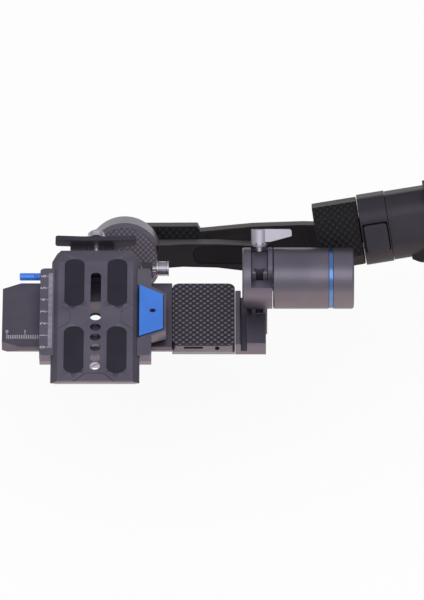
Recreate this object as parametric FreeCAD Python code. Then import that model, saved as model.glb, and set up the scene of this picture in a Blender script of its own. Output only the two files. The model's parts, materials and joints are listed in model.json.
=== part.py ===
import FreeCAD, Part
import math
import os

# Three-axis handheld camera stabiliser. Units are millimetres, +Z is up, +X runs from the
# camera platform to the tilt motor. The origin is the axis of the quarter-inch clearance
# hole in the camera plate, at the plate's top face.

V = FreeCAD.Vector

# ---------------------------------------------------------------- clearances
SLIDE_GAP = 0.3          # between sliding faces
RUN_GAP = 0.05           # radial, shaft in its bore
POCKET_GAP = 0.1         # a glued or seated insert in its pocket

# ---------------------------------------------------------------- camera plate
PLATE_TOP_HALF = 20.8    # half width of the flat top
PLATE_HALF = 24.6        # half width over the dovetail edge
PLATE_BEVEL_Z = -3.0     # foot of the upper bevel
PLATE_EDGE_Z = -3.8      # foot of the edge land
PLATE_FOOT_HALF = 21.5   # half width at the underside
PLATE_THICK = 6.0
PLATE_NEAR = -54.1
PLATE_FAR = 57.4
PLATE_LIP = 1.2          # height of the near end face above its undercut
PLATE_UNDERCUT = 5.0
FAR_CORNER_X = 5.0       # plan taper of the far corners
FAR_CORNER_Y = 8.0
FAR_RAMP = 11.0          # length of the sloped band at the far end
FAR_DROP = 1.4
WEB = 1.8                # thickness left over the screw channel
CHANNEL_HALF = 7.0
CHANNEL_END = 4.5        # from the channel's ends to the plate's ends
CAMERA_HOLE_R = 3.15     # quarter-inch clearance
PIN_HOLE_R = 3.0
PIN_HOLES_Y = (-9.0, -17.4, -26.1, -34.5)
SLOT_HALF = 2.9
SLOT_Y = (5.9, 37.2)
SCREW_Y = -42.3
SCREW_R = CAMERA_HOLE_R - RUN_GAP
SCREW_STAND = 1.2        # height of the screw's tip above the plate
SCREW_HEAD_R = 6.0
SCREW_HEAD_H = 2.8
SCREW_SLOT_W = 1.2
SCREW_SLOT_D = 0.9
PAD_HALF = 5.4
PAD_X = 11.9
PAD_FAR_Y = (9.0, 49.0)
PAD_NEAR_Y = (-47.5, -8.0)
PAD_THICK = 0.9
PAD_SINK = 0.15          # pad's top below the plate's top
GROOVE_W = 0.5
GROOVE_D = 0.35
SIDE_MARK = ((21.2, 11.5), (14.3, 4.5), (14.3, -4.5), (21.2, -10.5))
NEAR_MARK = ((-12.0, -54.5), (-5.0, -47.5), (4.8, -47.5), (10.6, -54.5))

# ---------------------------------------------------------------- backstop
STOP_Y = 63.2            # near face of the bar
STOP_THICK = 3.6
STOP_X = (-22.9, 22.3)
STOP_Z = (-3.4, 1.2)
STOP_CROWN = 0.6         # how far the bar's ends rise above its middle
STOP_BASE_X = (-14.6, 9.8)
STOP_BASE_H = 2.3
STOP_SLIDE = 4.0
STOP_PIN_X = (-4.1, 4.1)
STOP_PIN_R = 1.3
STOP_ROD_Z = -3.4        # height of the stud and guide pins
STUD_R = 1.5
STUD_REACH = STOP_SLIDE + 7.0   # length of stud and pins inside the plate
THUMB_R = 5.0
THUMB_LEN = 4.5
THUMB_NECK = 1.0

# ---------------------------------------------------------------- clamp carriage
JAW_TOP = -1.5
JAW_FOOT = -6.0
JAW_OUT = PLATE_HALF + 6.4
JAW_Y = (-31.0, 42.5)
JAW_ROUND = 2.6
BASE_Y = (-23.0, 46.5)
BASE_FOOT = -19.0
BAR_HOOK = 5.5           # how far the hooks reach in under the bar
FLOOR_WINDOW_X = 7.5
FLOOR_WINDOW_Y = (1.0, 40.0)
JAW_SCREW_R = 1.5
JAW_SCREW_X = PLATE_HALF + 3.8
JAW_SCREW_Y = (-16.0, 34.0)
JAW_SCREW_DEPTH = 3.2

BUTTON_X = (PLATE_HALF - 0.4, PLATE_HALF + 12.9)
BUTTON_LEFT_Y = (-15.4, 27.7)
BUTTON_RIGHT_Y = (-9.0, 19.5)
BUTTON_TOP = -0.4
BUTTON_SKIN = 1.0
BUTTON_FOOT = -4.2
BUTTON_INSET = 2.4       # from the flange's edge to the button's stem
BUTTON_TRAVEL = 0.8
STEM_LEFT = BUTTON_X[0] + 2.5
BUTTON_SCREW = (BUTTON_X[0] + 7.5, 5.8)
BUTTON_SCREW_R = 1.7
LIP = 1.7                # rim round the button
LIP_FOOT = -8.0

KNOB_X = (JAW_OUT + 2.6, JAW_OUT + 9.6)
KNOB_R = 4.2
KNOB_YZ = (46.9, -5.6)
KNOB_RIDGES = 16
KNOB_SHAFT_R = 1.6
KNOB_SHAFT_IN = PLATE_HALF + 2 * SLIDE_GAP   # inner end of the clamp screw
KNOB_BLOCK_X = (PLATE_HALF + 1.0, JAW_OUT + 0.4)
KNOB_BLOCK_HALF = 3.6

PIN_X = (-JAW_OUT - 11.7, -JAW_OUT + 1.0)
PIN_R = 2.1
PIN_YZ = (43.4, -8.6)
PIN_PULL = 4.0
PIN_NOTCH = 2.0

# ---------------------------------------------------------------- cross bar
BAR_X = (-52.0, 42.5)
BAR_Y = (-14.4, 39.7)
BAR_TOP = -10.0
BAR_EDGE = 2.5           # height of the bar's vertical edge
BAR_THICK = 6.5
BAR_TAPER = 3.5          # how far the dovetail tucks in below the edge
BAR_CORNER = (10.0, 4.7)
BAR_WINDOW_X = (-16.0, 8.0)
BAR_WINDOW_Y = (6.5, 24.0)

# ---------------------------------------------------------------- side pod
POD_X = (42.5, 77.4)
POD_Y = (-12.4, 39.7)
POD_FRONT_FOOT = -15.2   # foot of the pod's upright front face
POD_FOOT = -25.0
POD_SETBACK = 9.0        # how far the foot sits behind the front face
POD_WALL = 2.0
POD_CORNER = 4.0
LID_THICK = 1.0
BOARD_THICK = 1.6
BOARD_LIFT = 4.0
PORT_X = (49.0, 59.7)
PORT_Z = (-13.0, -11.6)
PORT_DEPTH = 7.0
JACK_X = 67.5
JACK_R = 1.3
JACK_Z = -12.7

# ---------------------------------------------------------------- post and its foot
POST_X = (86.6, 95.4)
POST_Y = (13.5, 31.3)
POST_TOP = 20.6
GROOVE_HALF = 2.0        # half width of the post's dovetail groove at its mouth
GROOVE_FLARE = 1.4
GROOVE_DEPTH = 3.4
FOOT_X = (77.6, 94.6)
FOOT_RIB_X = 80.7
FOOT_BLOCK_X = 84.0
FOOT_Y = (-12.0, 33.5)
FOOT_FLOOR = -15.2
FOOT_SCREW_R = 1.6

# ---------------------------------------------------------------- tilt unit
AXIS_Y = 22.4            # tilt axis, parallel to X
AXIS_Z = 8.6
MOTOR_R = 17.0
BRACKET_X = (81.5, 98.2)
BRACKET_STEP_Z = 15.0    # floor of the cut in front of the post
TILT_X = (98.6, 129.5)
RING_X = (129.5, 132.0)
RING_SINK = 0.25
CAP_X = (132.0, 143.5)
CASE_WALL = 2.0
CAP_ROUND = 1.4
LEVER_ANGLE = 49.0       # of the lever's axis above +Y
LEVER_X = 91.0
LEVER_HUB_R = 4.6
LEVER_BASE = 17.4        # radial distances from the tilt axis
LEVER_TOP = 27.3
LEVER_TIP_X = 108.9
LEVER_ROOT_FOOT = 20.2
LEVER_TIP_FOOT = 23.4
LEVER_HALF_ROOT = 3.6
LEVER_HALF_TIP = 2.4
LEVER_SCREW_R = 2.0
LEVER_TEETH = 8

# ---------------------------------------------------------------- motors
SHAFT_R = 3.0
BEARING_R = 5.5
BEARING_W = 4.0
BOSS_R = 7.0
AIR_GAP = 0.4
SKIRT_WALL = 1.4
DISC_THICK = 1.6
SKIRT_LEN = 13.0
BOSS_START = 2.2         # from the rotor's mounting face
SHAFT_LEN = 17.0
POLE_COUNT = 12

# ---------------------------------------------------------------- roll axis
# The roll axis crosses the tilt axis at ROLL_X and dips by ROLL_DIP away from the platform.
# The roll frame has its origin at the crossing: x along X, y along the roll axis, z across.
ROLL_X = 15.5
ROLL_DIP = 32.0
ROLL_R = 21.0
ROLL_Y = (64.0, 92.0)
ROLL_BASE_Y = 99.0
ROLL_CHAMFER = 2.4
ROLL_COVER_R = 18.4
ROLL_COVER_THICK = 1.2
ROLL_FLAT_X = 18.7       # the front is cut flat here, where the arm starts

ARM_Y = (68.0, 86.0)
ARM_TOP = ((18.7, 8.6), (52.0, 8.8), (72.0, 7.8), (84.0, 3.6), (94.1, 2.6), (107.1, 2.2))
ARM_FOOT = ((107.1, -11.0), (94.1, -10.5), (84.0, -9.0), (72.0, -7.0), (52.0, -4.6), (18.7, -3.8))
ARM_LEG_X = (94.1, 107.1)
ARM_ELBOW = 15.0
INLAY_X = (38.5, 78.0)
INLAY_HALF = 5.0
INLAY_Z = 2.6
INLAY_DEPTH = 0.8

# ---------------------------------------------------------------- pan arm
PAN_ARM_DEEP = 15.0
PAN_ARM_Y = (ROLL_BASE_Y, ROLL_BASE_Y + PAN_ARM_DEEP)
PAN_ARM_X = (-21.0, 130.0)
PAN_TOP = ((-21.0, 9.0), (-8.0, 14.0), (41.0, 14.2), (42.6, 11.2), (72.0, 14.0), (100.0, 15.0),
           (130.0, 14.4))
PAN_FOOT = ((130.0, 2.0), (100.0, -3.0), (60.0, -7.0), (-8.0, -12.0), (-21.0, -9.0))
PAN_LEG_X = (110.0, 130.0)
PAN_ELBOW = 22.0
COVER_X = (18.5, 41.0)
COVER_Z = (-4.0, 13.2)
COVER_THICK = 0.8

PAN_ANGLE = 9.3          # of the pan axis from x towards z
PAN_OFFSET = 36.0        # pan axis behind the tilt axis, along y
PAN_A = (109.0, 134.0)   # distances along the pan axis
PAN_HALF_B = 15.0
PAN_HALF_C = 17.8
PAN_BORE = 11.4
PAN_WALL = 2.5
PAN_COVER_B = -2.0       # split between cover and housing
PAN_CUT = 6.0            # corner chamfer

# ---------------------------------------------------------------- handle
COLLAR_A = (134.4, 150.0)
HANDLE_HALF_B = 19.0
HANDLE_HALF_C = 19.0
HANDLE_ROUND = 13.0
CELL_R = 9.1
CELL_LEN = 65.0
CELL_GAP = 0.6
CELL_START = 153.0
CELL_END = CELL_START + 2 * CELL_LEN + CELL_GAP
SHELL_A = (150.2, CELL_END + 2.4)
SHELL_SHRINK = 0.5
SHELL_WALL = 2.2
GRIP_A = (160.0, SHELL_A[1])
GRIP_FLARE = 9.0
GRIP_LEAD = 12.0         # how far the tongue underneath runs ahead of the grip's front edge
TONGUE_HALF = 11.0       # half width of the tongue's tip
GRIP_SWELL = 4.0
END_A = (SHELL_A[1] + 0.2, SHELL_A[1] + 12.0)
THREAD_R = 2.6
THREAD_LEN = 9.0
INSERT_R = 5.0

RELEASE_A = (135.9, 148.9)
RELEASE_C = (-10.2, 4.9)
RELEASE_STAND = 3.2
RELEASE_DEEP = 3.5
RELEASE_TRAVEL = 1.5

PANEL_A = (172.0, 210.0)
PANEL_HALF_C = 8.5
PANEL_THICK = 4.0
STICK_A = PANEL_A[0] + 9.0
STICK_R = 5.2
RECORD_A = STICK_A + 13.0
RECORD_R = 3.6
MODE_A = RECORD_A + 9.0
MODE_R = 2.6
KEY_TRAVEL = 0.8
KEY_STAND = 1.2
TRIGGER_A = (176.0, 197.0)
TRIGGER_HALF_C = 4.6
TRIGGER_STAND = 5.0
TRIGGER_PIN_R = 1.2
TRIGGER_PIVOT = (TRIGGER_A[0] + 2.5, -HANDLE_HALF_B + 2.0)
DIAL_A = 222.0
DIAL_R = 7.0
DIAL_HALF = 3.2
PAST = 2 * HANDLE_HALF_B    # a reach beyond every face of the handle


# ================================================================ helpers
def box(x, y, z):
    """A block between pairs of limits."""
    return Part.makeBox(x[1] - x[0], y[1] - y[0], z[1] - z[0], V(x[0], y[0], z[0]))


def cyl(axis, span, centre, radius):
    """A cylinder along X, Y or Z; centre holds the other two coordinates in order."""
    length = span[1] - span[0]
    if axis == "X":
        return Part.makeCylinder(radius, length, V(span[0], centre[0], centre[1]), V(1, 0, 0))
    if axis == "Y":
        return Part.makeCylinder(radius, length, V(centre[0], span[0], centre[1]), V(0, 1, 0))
    return Part.makeCylinder(radius, length, V(centre[0], centre[1], span[0]), V(0, 0, 1))


def prism(axis, span, points):
    """A polygon pushed along X, Y or Z; its points hold the other two coordinates in order."""
    place = {"X": lambda p: V(span[0], p[0], p[1]),
             "Y": lambda p: V(p[0], span[0], p[1]),
             "Z": lambda p: V(p[0], p[1], span[0])}[axis]
    push = {"X": V(1, 0, 0), "Y": V(0, 1, 0), "Z": V(0, 0, 1)}[axis]
    corners = [place(p) for p in points]
    face = Part.Face(Part.makePolygon(corners + corners[:1]))
    return face.extrude(push * (span[1] - span[0]))


def ring(axis, span, centre, outer, inner):
    """A tube along X, Y or Z."""
    return cyl(axis, span, centre, outer).cut(cyl(axis, span, centre, inner))


def stadium(x_centre, half, y, z):
    """An upright-sided pad with round ends, long in Y."""
    low = y[0] + half
    high = y[1] - half
    middle = box((x_centre - half, x_centre + half), (low, high), z)
    ends = [cyl("Z", z, (x_centre, low), half), cyl("Z", z, (x_centre, high), half)]
    return middle.fuse(ends).removeSplitter()


def edges_along(shape, axis, test=None):
    """Straight edges parallel to an axis that pass a test on their midpoint."""
    direction = {"X": V(1, 0, 0), "Y": V(0, 1, 0), "Z": V(0, 0, 1)}[axis]
    found = []
    for edge in shape.Edges:
        if len(edge.Vertexes) < 2 or edge.Curve.TypeId != "Part::GeomLine":
            continue
        run = edge.Vertexes[1].Point - edge.Vertexes[0].Point
        if run.cross(direction).Length > 1e-6 * run.Length:
            continue
        if test is None or test(edge.CenterOfMass):
            found.append(edge)
    return found


def circles_of(shape, radius, test):
    """Circular edges of one radius that pass a test on their centre of mass."""
    return [e for e in shape.Edges
            if e.Curve.TypeId == "Part::GeomCircle" and abs(e.Curve.Radius - radius) < 1e-6
            and test(e.CenterOfMass)]


def rounded_bar(x, y, z, radius):
    """A block with its four upright corners rounded."""
    solid = box(x, y, z)
    return solid.makeFillet(radius, edges_along(solid, "Z"))


def groove(points, width, z):
    """A run of narrow slots that joins a list of plan points."""
    parts = []
    for start, end in zip(points, points[1:]):
        run = V(end[0] - start[0], end[1] - start[1], 0)
        across = V(-run.y, run.x, 0).normalize() * (width / 2)
        a = V(start[0], start[1], 0)
        b = V(end[0], end[1], 0)
        outline = [a + across, a - across, b - across, b + across]
        parts.append(prism("Z", z, [(p.x, p.y) for p in outline]))
        parts.append(cyl("Z", z, (end[0], end[1]), width / 2))
    return parts[0].fuse(parts[1:])


def in_roll_frame(shape):
    """Carry a shape from the roll frame to its place in the model."""
    placed = shape.copy()
    placed.rotate(V(0, 0, 0), V(1, 0, 0), -ROLL_DIP)
    placed.translate(V(ROLL_X, AXIS_Y, AXIS_Z))
    return placed


def in_handle_frame(shape):
    """Carry a shape built along the pan axis (along X, with Y towards the roll motor)."""
    placed = shape.copy()
    placed.rotate(V(0, 0, 0), V(0, 1, 0), -PAN_ANGLE)
    placed.translate(V(0, PAN_OFFSET, 0))
    return in_roll_frame(placed)


NODES = {}


def keep(name, shape):
    """File a finished sub-part under its node name."""
    NODES[name] = shape


# ================================================================ camera plate
def plate_section(grow):
    """Cross-section of the plate in X and Z, grown by a clearance on its sides and foot."""
    right = [(PLATE_TOP_HALF + grow, 0.0),
             (PLATE_HALF + grow, PLATE_BEVEL_Z),
             (PLATE_HALF + grow, PLATE_EDGE_Z),
             (PLATE_FOOT_HALF + grow, -PLATE_THICK),
             (PLATE_FOOT_HALF + grow, -PLATE_THICK - grow)]
    return right + [(-x, z) for x, z in reversed(right)]


def make_camera_plate():
    """The sliding plate with its hole row, slot, pad pockets and screw channel."""
    plate = prism("Y", (PLATE_NEAR, PLATE_FAR), plate_section(0.0)[:4] + plate_section(0.0)[-4:])
    undercut = [(PLATE_NEAR - 1.0, -PLATE_LIP),
                (PLATE_NEAR, -PLATE_LIP),
                (PLATE_NEAR + PLATE_UNDERCUT, -PLATE_THICK - 1.0),
                (PLATE_NEAR - 1.0, -PLATE_THICK - 1.0)]
    across = (-PLATE_HALF - 1.0, PLATE_HALF + 1.0)
    plate = plate.cut(prism("X", across, undercut))
    ramp = [(PLATE_FAR - FAR_RAMP, 0.0), (PLATE_FAR + 1.0, -FAR_DROP), (PLATE_FAR + 1.0, 1.0),
            (PLATE_FAR - FAR_RAMP, 1.0)]
    plate = plate.cut(prism("X", across, ramp))
    for side in (-1, 1):
        corner = [(side * (PLATE_HALF + 1.0), PLATE_FAR - FAR_CORNER_Y),
                  (side * PLATE_HALF, PLATE_FAR - FAR_CORNER_Y),
                  (side * (PLATE_HALF - FAR_CORNER_X), PLATE_FAR + 0.01),
                  (side * (PLATE_HALF + 1.0), PLATE_FAR + 0.01)]
        plate = plate.cut(prism("Z", (-PLATE_THICK - 1.0, 1.0), corner))
    channel_y = (PLATE_NEAR + CHANNEL_END, PLATE_FAR - CHANNEL_END - STUD_REACH + 1.0)
    cuts = [rounded_bar((-CHANNEL_HALF, CHANNEL_HALF), channel_y, (-PLATE_THICK - 1.0, -WEB), 3.0)]
    through = (-PLATE_THICK - 1.0, 1.0)
    cuts.append(cyl("Z", through, (0.0, 0.0), CAMERA_HOLE_R))
    cuts.append(cyl("Z", through, (0.0, SCREW_Y), CAMERA_HOLE_R))
    cuts += [cyl("Z", through, (0.0, y), PIN_HOLE_R) for y in PIN_HOLES_Y]
    cuts.append(stadium(0.0, SLOT_HALF, SLOT_Y, through))
    pocket_z = (-PAD_SINK - PAD_THICK, 1.0)
    for side in (-1, 1):
        for span in (PAD_FAR_Y, PAD_NEAR_Y):
            pocket = (span[0] - POCKET_GAP, span[1] + POCKET_GAP)
            cuts.append(stadium(side * PAD_X, PAD_HALF + POCKET_GAP, pocket, pocket_z))
        cuts.append(groove([(side * x, y) for x, y in SIDE_MARK], GROOVE_W, (-GROOVE_D, 1.0)))
    cuts.append(groove(NEAR_MARK, GROOVE_W, (-GROOVE_D, 1.0)))
    deep = (PLATE_FAR - STUD_REACH - 1.0, PLATE_FAR + 1.0)
    cuts.append(cyl("Y", deep, (0.0, STOP_ROD_Z), STUD_R + RUN_GAP))
    cuts += [cyl("Y", deep, (x, STOP_ROD_Z), STOP_PIN_R + RUN_GAP) for x in STOP_PIN_X]
    for cut in cuts:
        plate = plate.cut(cut)
    return plate


def make_camera_screw():
    """Slotted quarter-inch camera screw, its head in the channel under the plate."""
    head = cyl("Z", (-WEB - SLIDE_GAP - SCREW_HEAD_H, -WEB - SLIDE_GAP), (0.0, SCREW_Y), SCREW_HEAD_R)
    shank = cyl("Z", (-WEB - SLIDE_GAP, SCREW_STAND), (0.0, SCREW_Y), SCREW_R)
    shank = shank.makeChamfer(0.5, circles_of(shank, SCREW_R, lambda c: c.z > 0.0))
    slot_x = (-SCREW_R - 1.0, SCREW_R + 1.0)
    slot_y = (SCREW_Y - SCREW_SLOT_W / 2, SCREW_Y + SCREW_SLOT_W / 2)
    slot = box(slot_x, slot_y, (SCREW_STAND - SCREW_SLOT_D, SCREW_STAND + 1.0))
    slot.rotate(V(0, SCREW_Y, 0), V(0, 0, 1), 35.0)
    return head.fuse(shank.cut(slot)).removeSplitter()


def make_rubber_pads():
    """Four grip pads set into the plate."""
    z = (-PAD_SINK - PAD_THICK, -PAD_SINK)
    pads = [stadium(side * PAD_X, PAD_HALF, span, z)
            for side in (-1, 1) for span in (PAD_FAR_Y, PAD_NEAR_Y)]
    return Part.makeCompound(pads)


def build_camera_plate():
    """Plate, pads and screw."""
    keep("camera_plate", make_camera_plate())
    keep("rubber_pads", make_rubber_pads())
    keep("camera_screw", make_camera_screw())


# ================================================================ backstop
def build_backstop():
    """Bar that keeps the camera from twisting, on two pins and a thumb screw."""
    y = (STOP_Y, STOP_Y + STOP_THICK)
    ends = (STOP_X[0], STOP_X[1])
    middle = (STOP_X[0] + STOP_X[1]) / 2
    crown = STOP_Z[1] + STOP_CROWN
    outline = [(ends[0], STOP_Z[0] + 1.2), (ends[0] + 1.0, STOP_Z[0] + 0.4), (middle - 9.0, STOP_Z[0]),
               (middle + 9.0, STOP_Z[0]), (ends[1] - 1.5, STOP_Z[0] + 0.4), (ends[1], STOP_Z[0] + 1.6),
               (ends[1], crown - 0.8), (ends[1] - 1.4, crown), (middle + 8.0, STOP_Z[1]),
               (middle - 8.0, STOP_Z[1]), (ends[0] + 1.0, crown), (ends[0], crown - 0.8)]
    bar = prism("Y", y, outline)
    bar = bar.makeFillet(0.8, [e for e in edges_along(bar, "Y")
                               if abs(e.CenterOfMass.x - middle) > 20.0 and e.CenterOfMass.z > STOP_Z[0]])
    base_y = (PLATE_FAR + SLIDE_GAP, STOP_Y + STOP_THICK)
    base = box(STOP_BASE_X, (PLATE_FAR + 3.0, base_y[1]), (STOP_Z[0] - STOP_BASE_H, STOP_Z[0] + 0.5))
    wedge = prism("Y", (STOP_Y, base_y[1]), [(STOP_BASE_X[1] - 0.1, STOP_Z[0] - STOP_BASE_H),
                                            (STOP_BASE_X[1] - 0.1, STOP_Z[0] + 0.5),
                                            (STOP_BASE_X[1] + 9.0, STOP_Z[0] + 0.5)])
    bore = cyl("Y", (PLATE_FAR, STOP_Y + STOP_THICK + 1.0), (0.0, STOP_ROD_Z), STUD_R + RUN_GAP)
    body = bar.fuse([base, wedge]).removeSplitter().cut(bore)
    pins = [cyl("Y", (PLATE_FAR - STUD_REACH, STOP_Y + STOP_THICK - 1.0), (x, STOP_ROD_Z), STOP_PIN_R)
            for x in STOP_PIN_X]
    keep("backstop_bar", body.fuse(pins).removeSplitter())
    back = STOP_Y + STOP_THICK
    stud = cyl("Y", (PLATE_FAR - STUD_REACH, back + THUMB_NECK + 1.0), (0.0, STOP_ROD_Z), STUD_R)
    neck = cyl("Y", (back + 0.1, back + THUMB_NECK), (0.0, STOP_ROD_Z), 3.0)
    nut = knurled("Y", (back + THUMB_NECK, back + THUMB_NECK + THUMB_LEN), (0.0, STOP_ROD_Z), THUMB_R, 18)
    keep("backstop_thumb_screw", stud.fuse([neck, nut]).removeSplitter())


def knurled(axis, span, centre, radius, count):
    """A round grip with fine grooves cut along it."""
    grip = cyl(axis, span, centre, radius)
    rims = circles_of(grip, radius, lambda c: True)
    grip = grip.makeChamfer(0.6, rims)
    cuts = []
    for i in range(count):
        turn = 2.0 * math.pi * i / count
        spot = (centre[0] + radius * math.cos(turn), centre[1] + radius * math.sin(turn))
        cuts.append(cyl(axis, (span[0] - 1.0, span[1] + 1.0), spot, 0.45))
    return grip.cut(Part.makeCompound(cuts))


# ================================================================ clamp carriage
def bar_section(grow):
    """Cross-section of the cross bar in Y and Z, grown by a clearance."""
    tuck_z = BAR_TOP - BAR_THICK
    near = [(BAR_Y[0] - grow, BAR_TOP + grow),
            (BAR_Y[0] - grow, BAR_TOP - BAR_EDGE),
            (BAR_Y[0] + BAR_TAPER - grow, tuck_z - grow)]
    far = [(BAR_Y[1] - BAR_TAPER + grow, tuck_z - grow),
           (BAR_Y[1] + grow, BAR_TOP - BAR_EDGE),
           (BAR_Y[1] + grow, BAR_TOP + grow)]
    return near + far


def trapezoid(inset, left):
    """Plan outline of the release button, drawn in by an inset, from a left limit."""
    right = BUTTON_X[1] - inset
    width = BUTTON_X[1] - BUTTON_X[0]

    def edge(corner, x):
        """Y of a slanted side at x."""
        rise = BUTTON_RIGHT_Y[corner] - BUTTON_LEFT_Y[corner]
        return BUTTON_LEFT_Y[corner] + rise * (x - BUTTON_X[0]) / width

    return [(left, edge(0, left) + inset), (right, edge(0, right) + inset),
            (right, edge(1, right) - inset), (left, edge(1, left) - inset)]


def make_jaw(side):
    """One jaw: a long rail whose lip leans over the plate's bevel."""
    inner = PLATE_HALF + SLIDE_GAP
    lip_top = PLATE_TOP_HALF + (PLATE_HALF - PLATE_TOP_HALF) * (JAW_TOP / PLATE_BEVEL_Z) + SLIDE_GAP
    outline = [(side * lip_top, JAW_TOP),
               (side * JAW_OUT, JAW_TOP),
               (side * JAW_OUT, JAW_FOOT),
               (side * inner, JAW_FOOT),
               (side * inner, PLATE_BEVEL_Z)]
    rail = prism("Y", JAW_Y, outline)
    outer = edges_along(rail, "Z", lambda c: abs(c.x) > JAW_OUT - 0.1)
    rail = rail.makeFillet(JAW_ROUND, outer)
    return rail


def build_carriage():
    """Clamp that grips the plate and rides along the cross bar."""
    inner = PLATE_HALF + SLIDE_GAP
    floor_top = -PLATE_THICK - SLIDE_GAP
    section = [(BASE_Y[0], JAW_FOOT), (BASE_Y[0], BAR_TOP - 3.0), (BASE_Y[0] + 4.0, BASE_FOOT),
               (BASE_Y[1] - 3.0, BASE_FOOT), (BASE_Y[1], BAR_TOP - 3.0), (BASE_Y[1], JAW_FOOT)]
    base = prism("X", (-JAW_OUT, JAW_OUT), section)
    base = base.cut(prism("X", (-JAW_OUT - 1.0, JAW_OUT + 1.0), bar_section(SLIDE_GAP)))
    hook_y = (BAR_Y[0] + BAR_HOOK, BAR_Y[1] - BAR_HOOK)
    base = base.cut(box((-JAW_OUT - 1.0, JAW_OUT + 1.0), hook_y, (BASE_FOOT - 1.0, BAR_TOP)))
    base = base.cut(box((-inner, inner), (BASE_Y[0] - 1.0, BASE_Y[1] + 1.0), (floor_top, 0.0)))
    window = (BAR_TOP - 1.0, 0.0)
    base = base.cut(box((-FLOOR_WINDOW_X, FLOOR_WINDOW_X), FLOOR_WINDOW_Y, window))
    pin_bore = cyl("X", (-JAW_OUT - 1.0, PIN_X[1] + PIN_PULL), PIN_YZ, PIN_R + RUN_GAP)
    base = base.cut(pin_bore)
    knob_bore = cyl("X", (KNOB_SHAFT_IN - 1.0, JAW_OUT + 9.0), KNOB_YZ, KNOB_SHAFT_R + RUN_GAP)
    base = base.cut(knob_bore)
    left = make_jaw(-1)
    right = make_jaw(1)
    lip_outline = [(JAW_OUT - 6.0, BUTTON_LEFT_Y[0] - LIP),
                   (JAW_OUT + 0.4, BUTTON_LEFT_Y[0] + 0.8),
                   (BUTTON_X[1] + LIP, BUTTON_RIGHT_Y[0] - LIP * 0.8),
                   (BUTTON_X[1] + LIP, BUTTON_RIGHT_Y[1] + LIP * 0.8),
                   (JAW_OUT + 0.4, BUTTON_LEFT_Y[1] - 0.8),
                   (JAW_OUT - 6.0, BUTTON_LEFT_Y[1] + LIP)]
    housing = prism("Z", (JAW_FOOT, JAW_TOP + 0.3), lip_outline)
    apron = prism("Z", (LIP_FOOT, JAW_FOOT), [(JAW_OUT + 0.1, BUTTON_LEFT_Y[0] + 2.0)] + lip_outline[2:4]
                  + [(JAW_OUT + 0.1, BUTTON_LEFT_Y[1] - 2.0)])
    right = right.fuse([housing, apron]).removeSplitter()
    skin_floor = BUTTON_TOP - BUTTON_SKIN - BUTTON_TRAVEL - 0.2
    mouth = prism("Z", (skin_floor, 1.0), trapezoid(-SLIDE_GAP, PLATE_TOP_HALF))
    well_z = (BUTTON_FOOT - BUTTON_TRAVEL - 0.2, 1.0)
    well = prism("Z", well_z, trapezoid(BUTTON_INSET - SLIDE_GAP, STEM_LEFT - SLIDE_GAP))
    right = right.cut(mouth).cut(well)
    screw_z = (JAW_FOOT - JAW_SCREW_DEPTH, JAW_FOOT + 2.6)
    screws = []
    for x in (-JAW_SCREW_X, JAW_SCREW_X):
        for y in JAW_SCREW_Y:
            screws.append(cyl("Z", screw_z, (x, y), JAW_SCREW_R))
    group = Part.makeCompound(screws)
    keep("clamp_base", base.cut(group))
    keep("left_jaw", left.cut(group))
    keep("right_jaw", right.cut(group).cut(knob_bore))
    keep("jaw_screws", group)
    block_z = (KNOB_YZ[1] - KNOB_BLOCK_HALF, KNOB_YZ[1] + KNOB_BLOCK_HALF)
    block = box(KNOB_BLOCK_X, (JAW_Y[1] + 0.02, KNOB_YZ[0] + KNOB_BLOCK_HALF + 1.6), block_z)
    slope = [(KNOB_BLOCK_X[0] - 1.0, KNOB_YZ[0] + KNOB_BLOCK_HALF - 1.5),
             (KNOB_BLOCK_X[0] - 1.0, KNOB_YZ[0] + KNOB_BLOCK_HALF + 3.0),
             (KNOB_BLOCK_X[1] + 1.0, KNOB_YZ[0] + KNOB_BLOCK_HALF + 3.0),
             (KNOB_BLOCK_X[1] + 1.0, KNOB_YZ[0] + 0.5)]
    block = block.cut(prism("Z", (block_z[0] - 1.0, block_z[1] + 1.0), slope)).cut(knob_bore).cut(base)
    keep("clamp_knob_block", block)


def build_release_button():
    """Sprung blue button that frees the plate, with its cap screw."""
    skin = prism("Z", (BUTTON_TOP - BUTTON_SKIN, BUTTON_TOP), trapezoid(0.0, BUTTON_X[0]))
    stem = prism("Z", (BUTTON_FOOT, BUTTON_TOP - BUTTON_SKIN), trapezoid(BUTTON_INSET, STEM_LEFT))
    button = skin.fuse(stem).removeSplitter()
    bore = cyl("Z", (BUTTON_FOOT + 0.8, BUTTON_TOP + 1.0), BUTTON_SCREW, BUTTON_SCREW_R)
    keep("plate_release_button", button.cut(bore))
    screw = cyl("Z", (BUTTON_FOOT + 0.8, BUTTON_TOP - 0.5), BUTTON_SCREW, BUTTON_SCREW_R)
    slot = box((BUTTON_SCREW[0] - 2.0, BUTTON_SCREW[0] + 2.0),
               (BUTTON_SCREW[1] - 0.3, BUTTON_SCREW[1] + 0.3), (BUTTON_TOP - 0.9, BUTTON_TOP))
    slot.rotate(V(BUTTON_SCREW[0], BUTTON_SCREW[1], 0), V(0, 0, 1), 50.0)
    keep("button_screw", screw.cut(slot))


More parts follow.
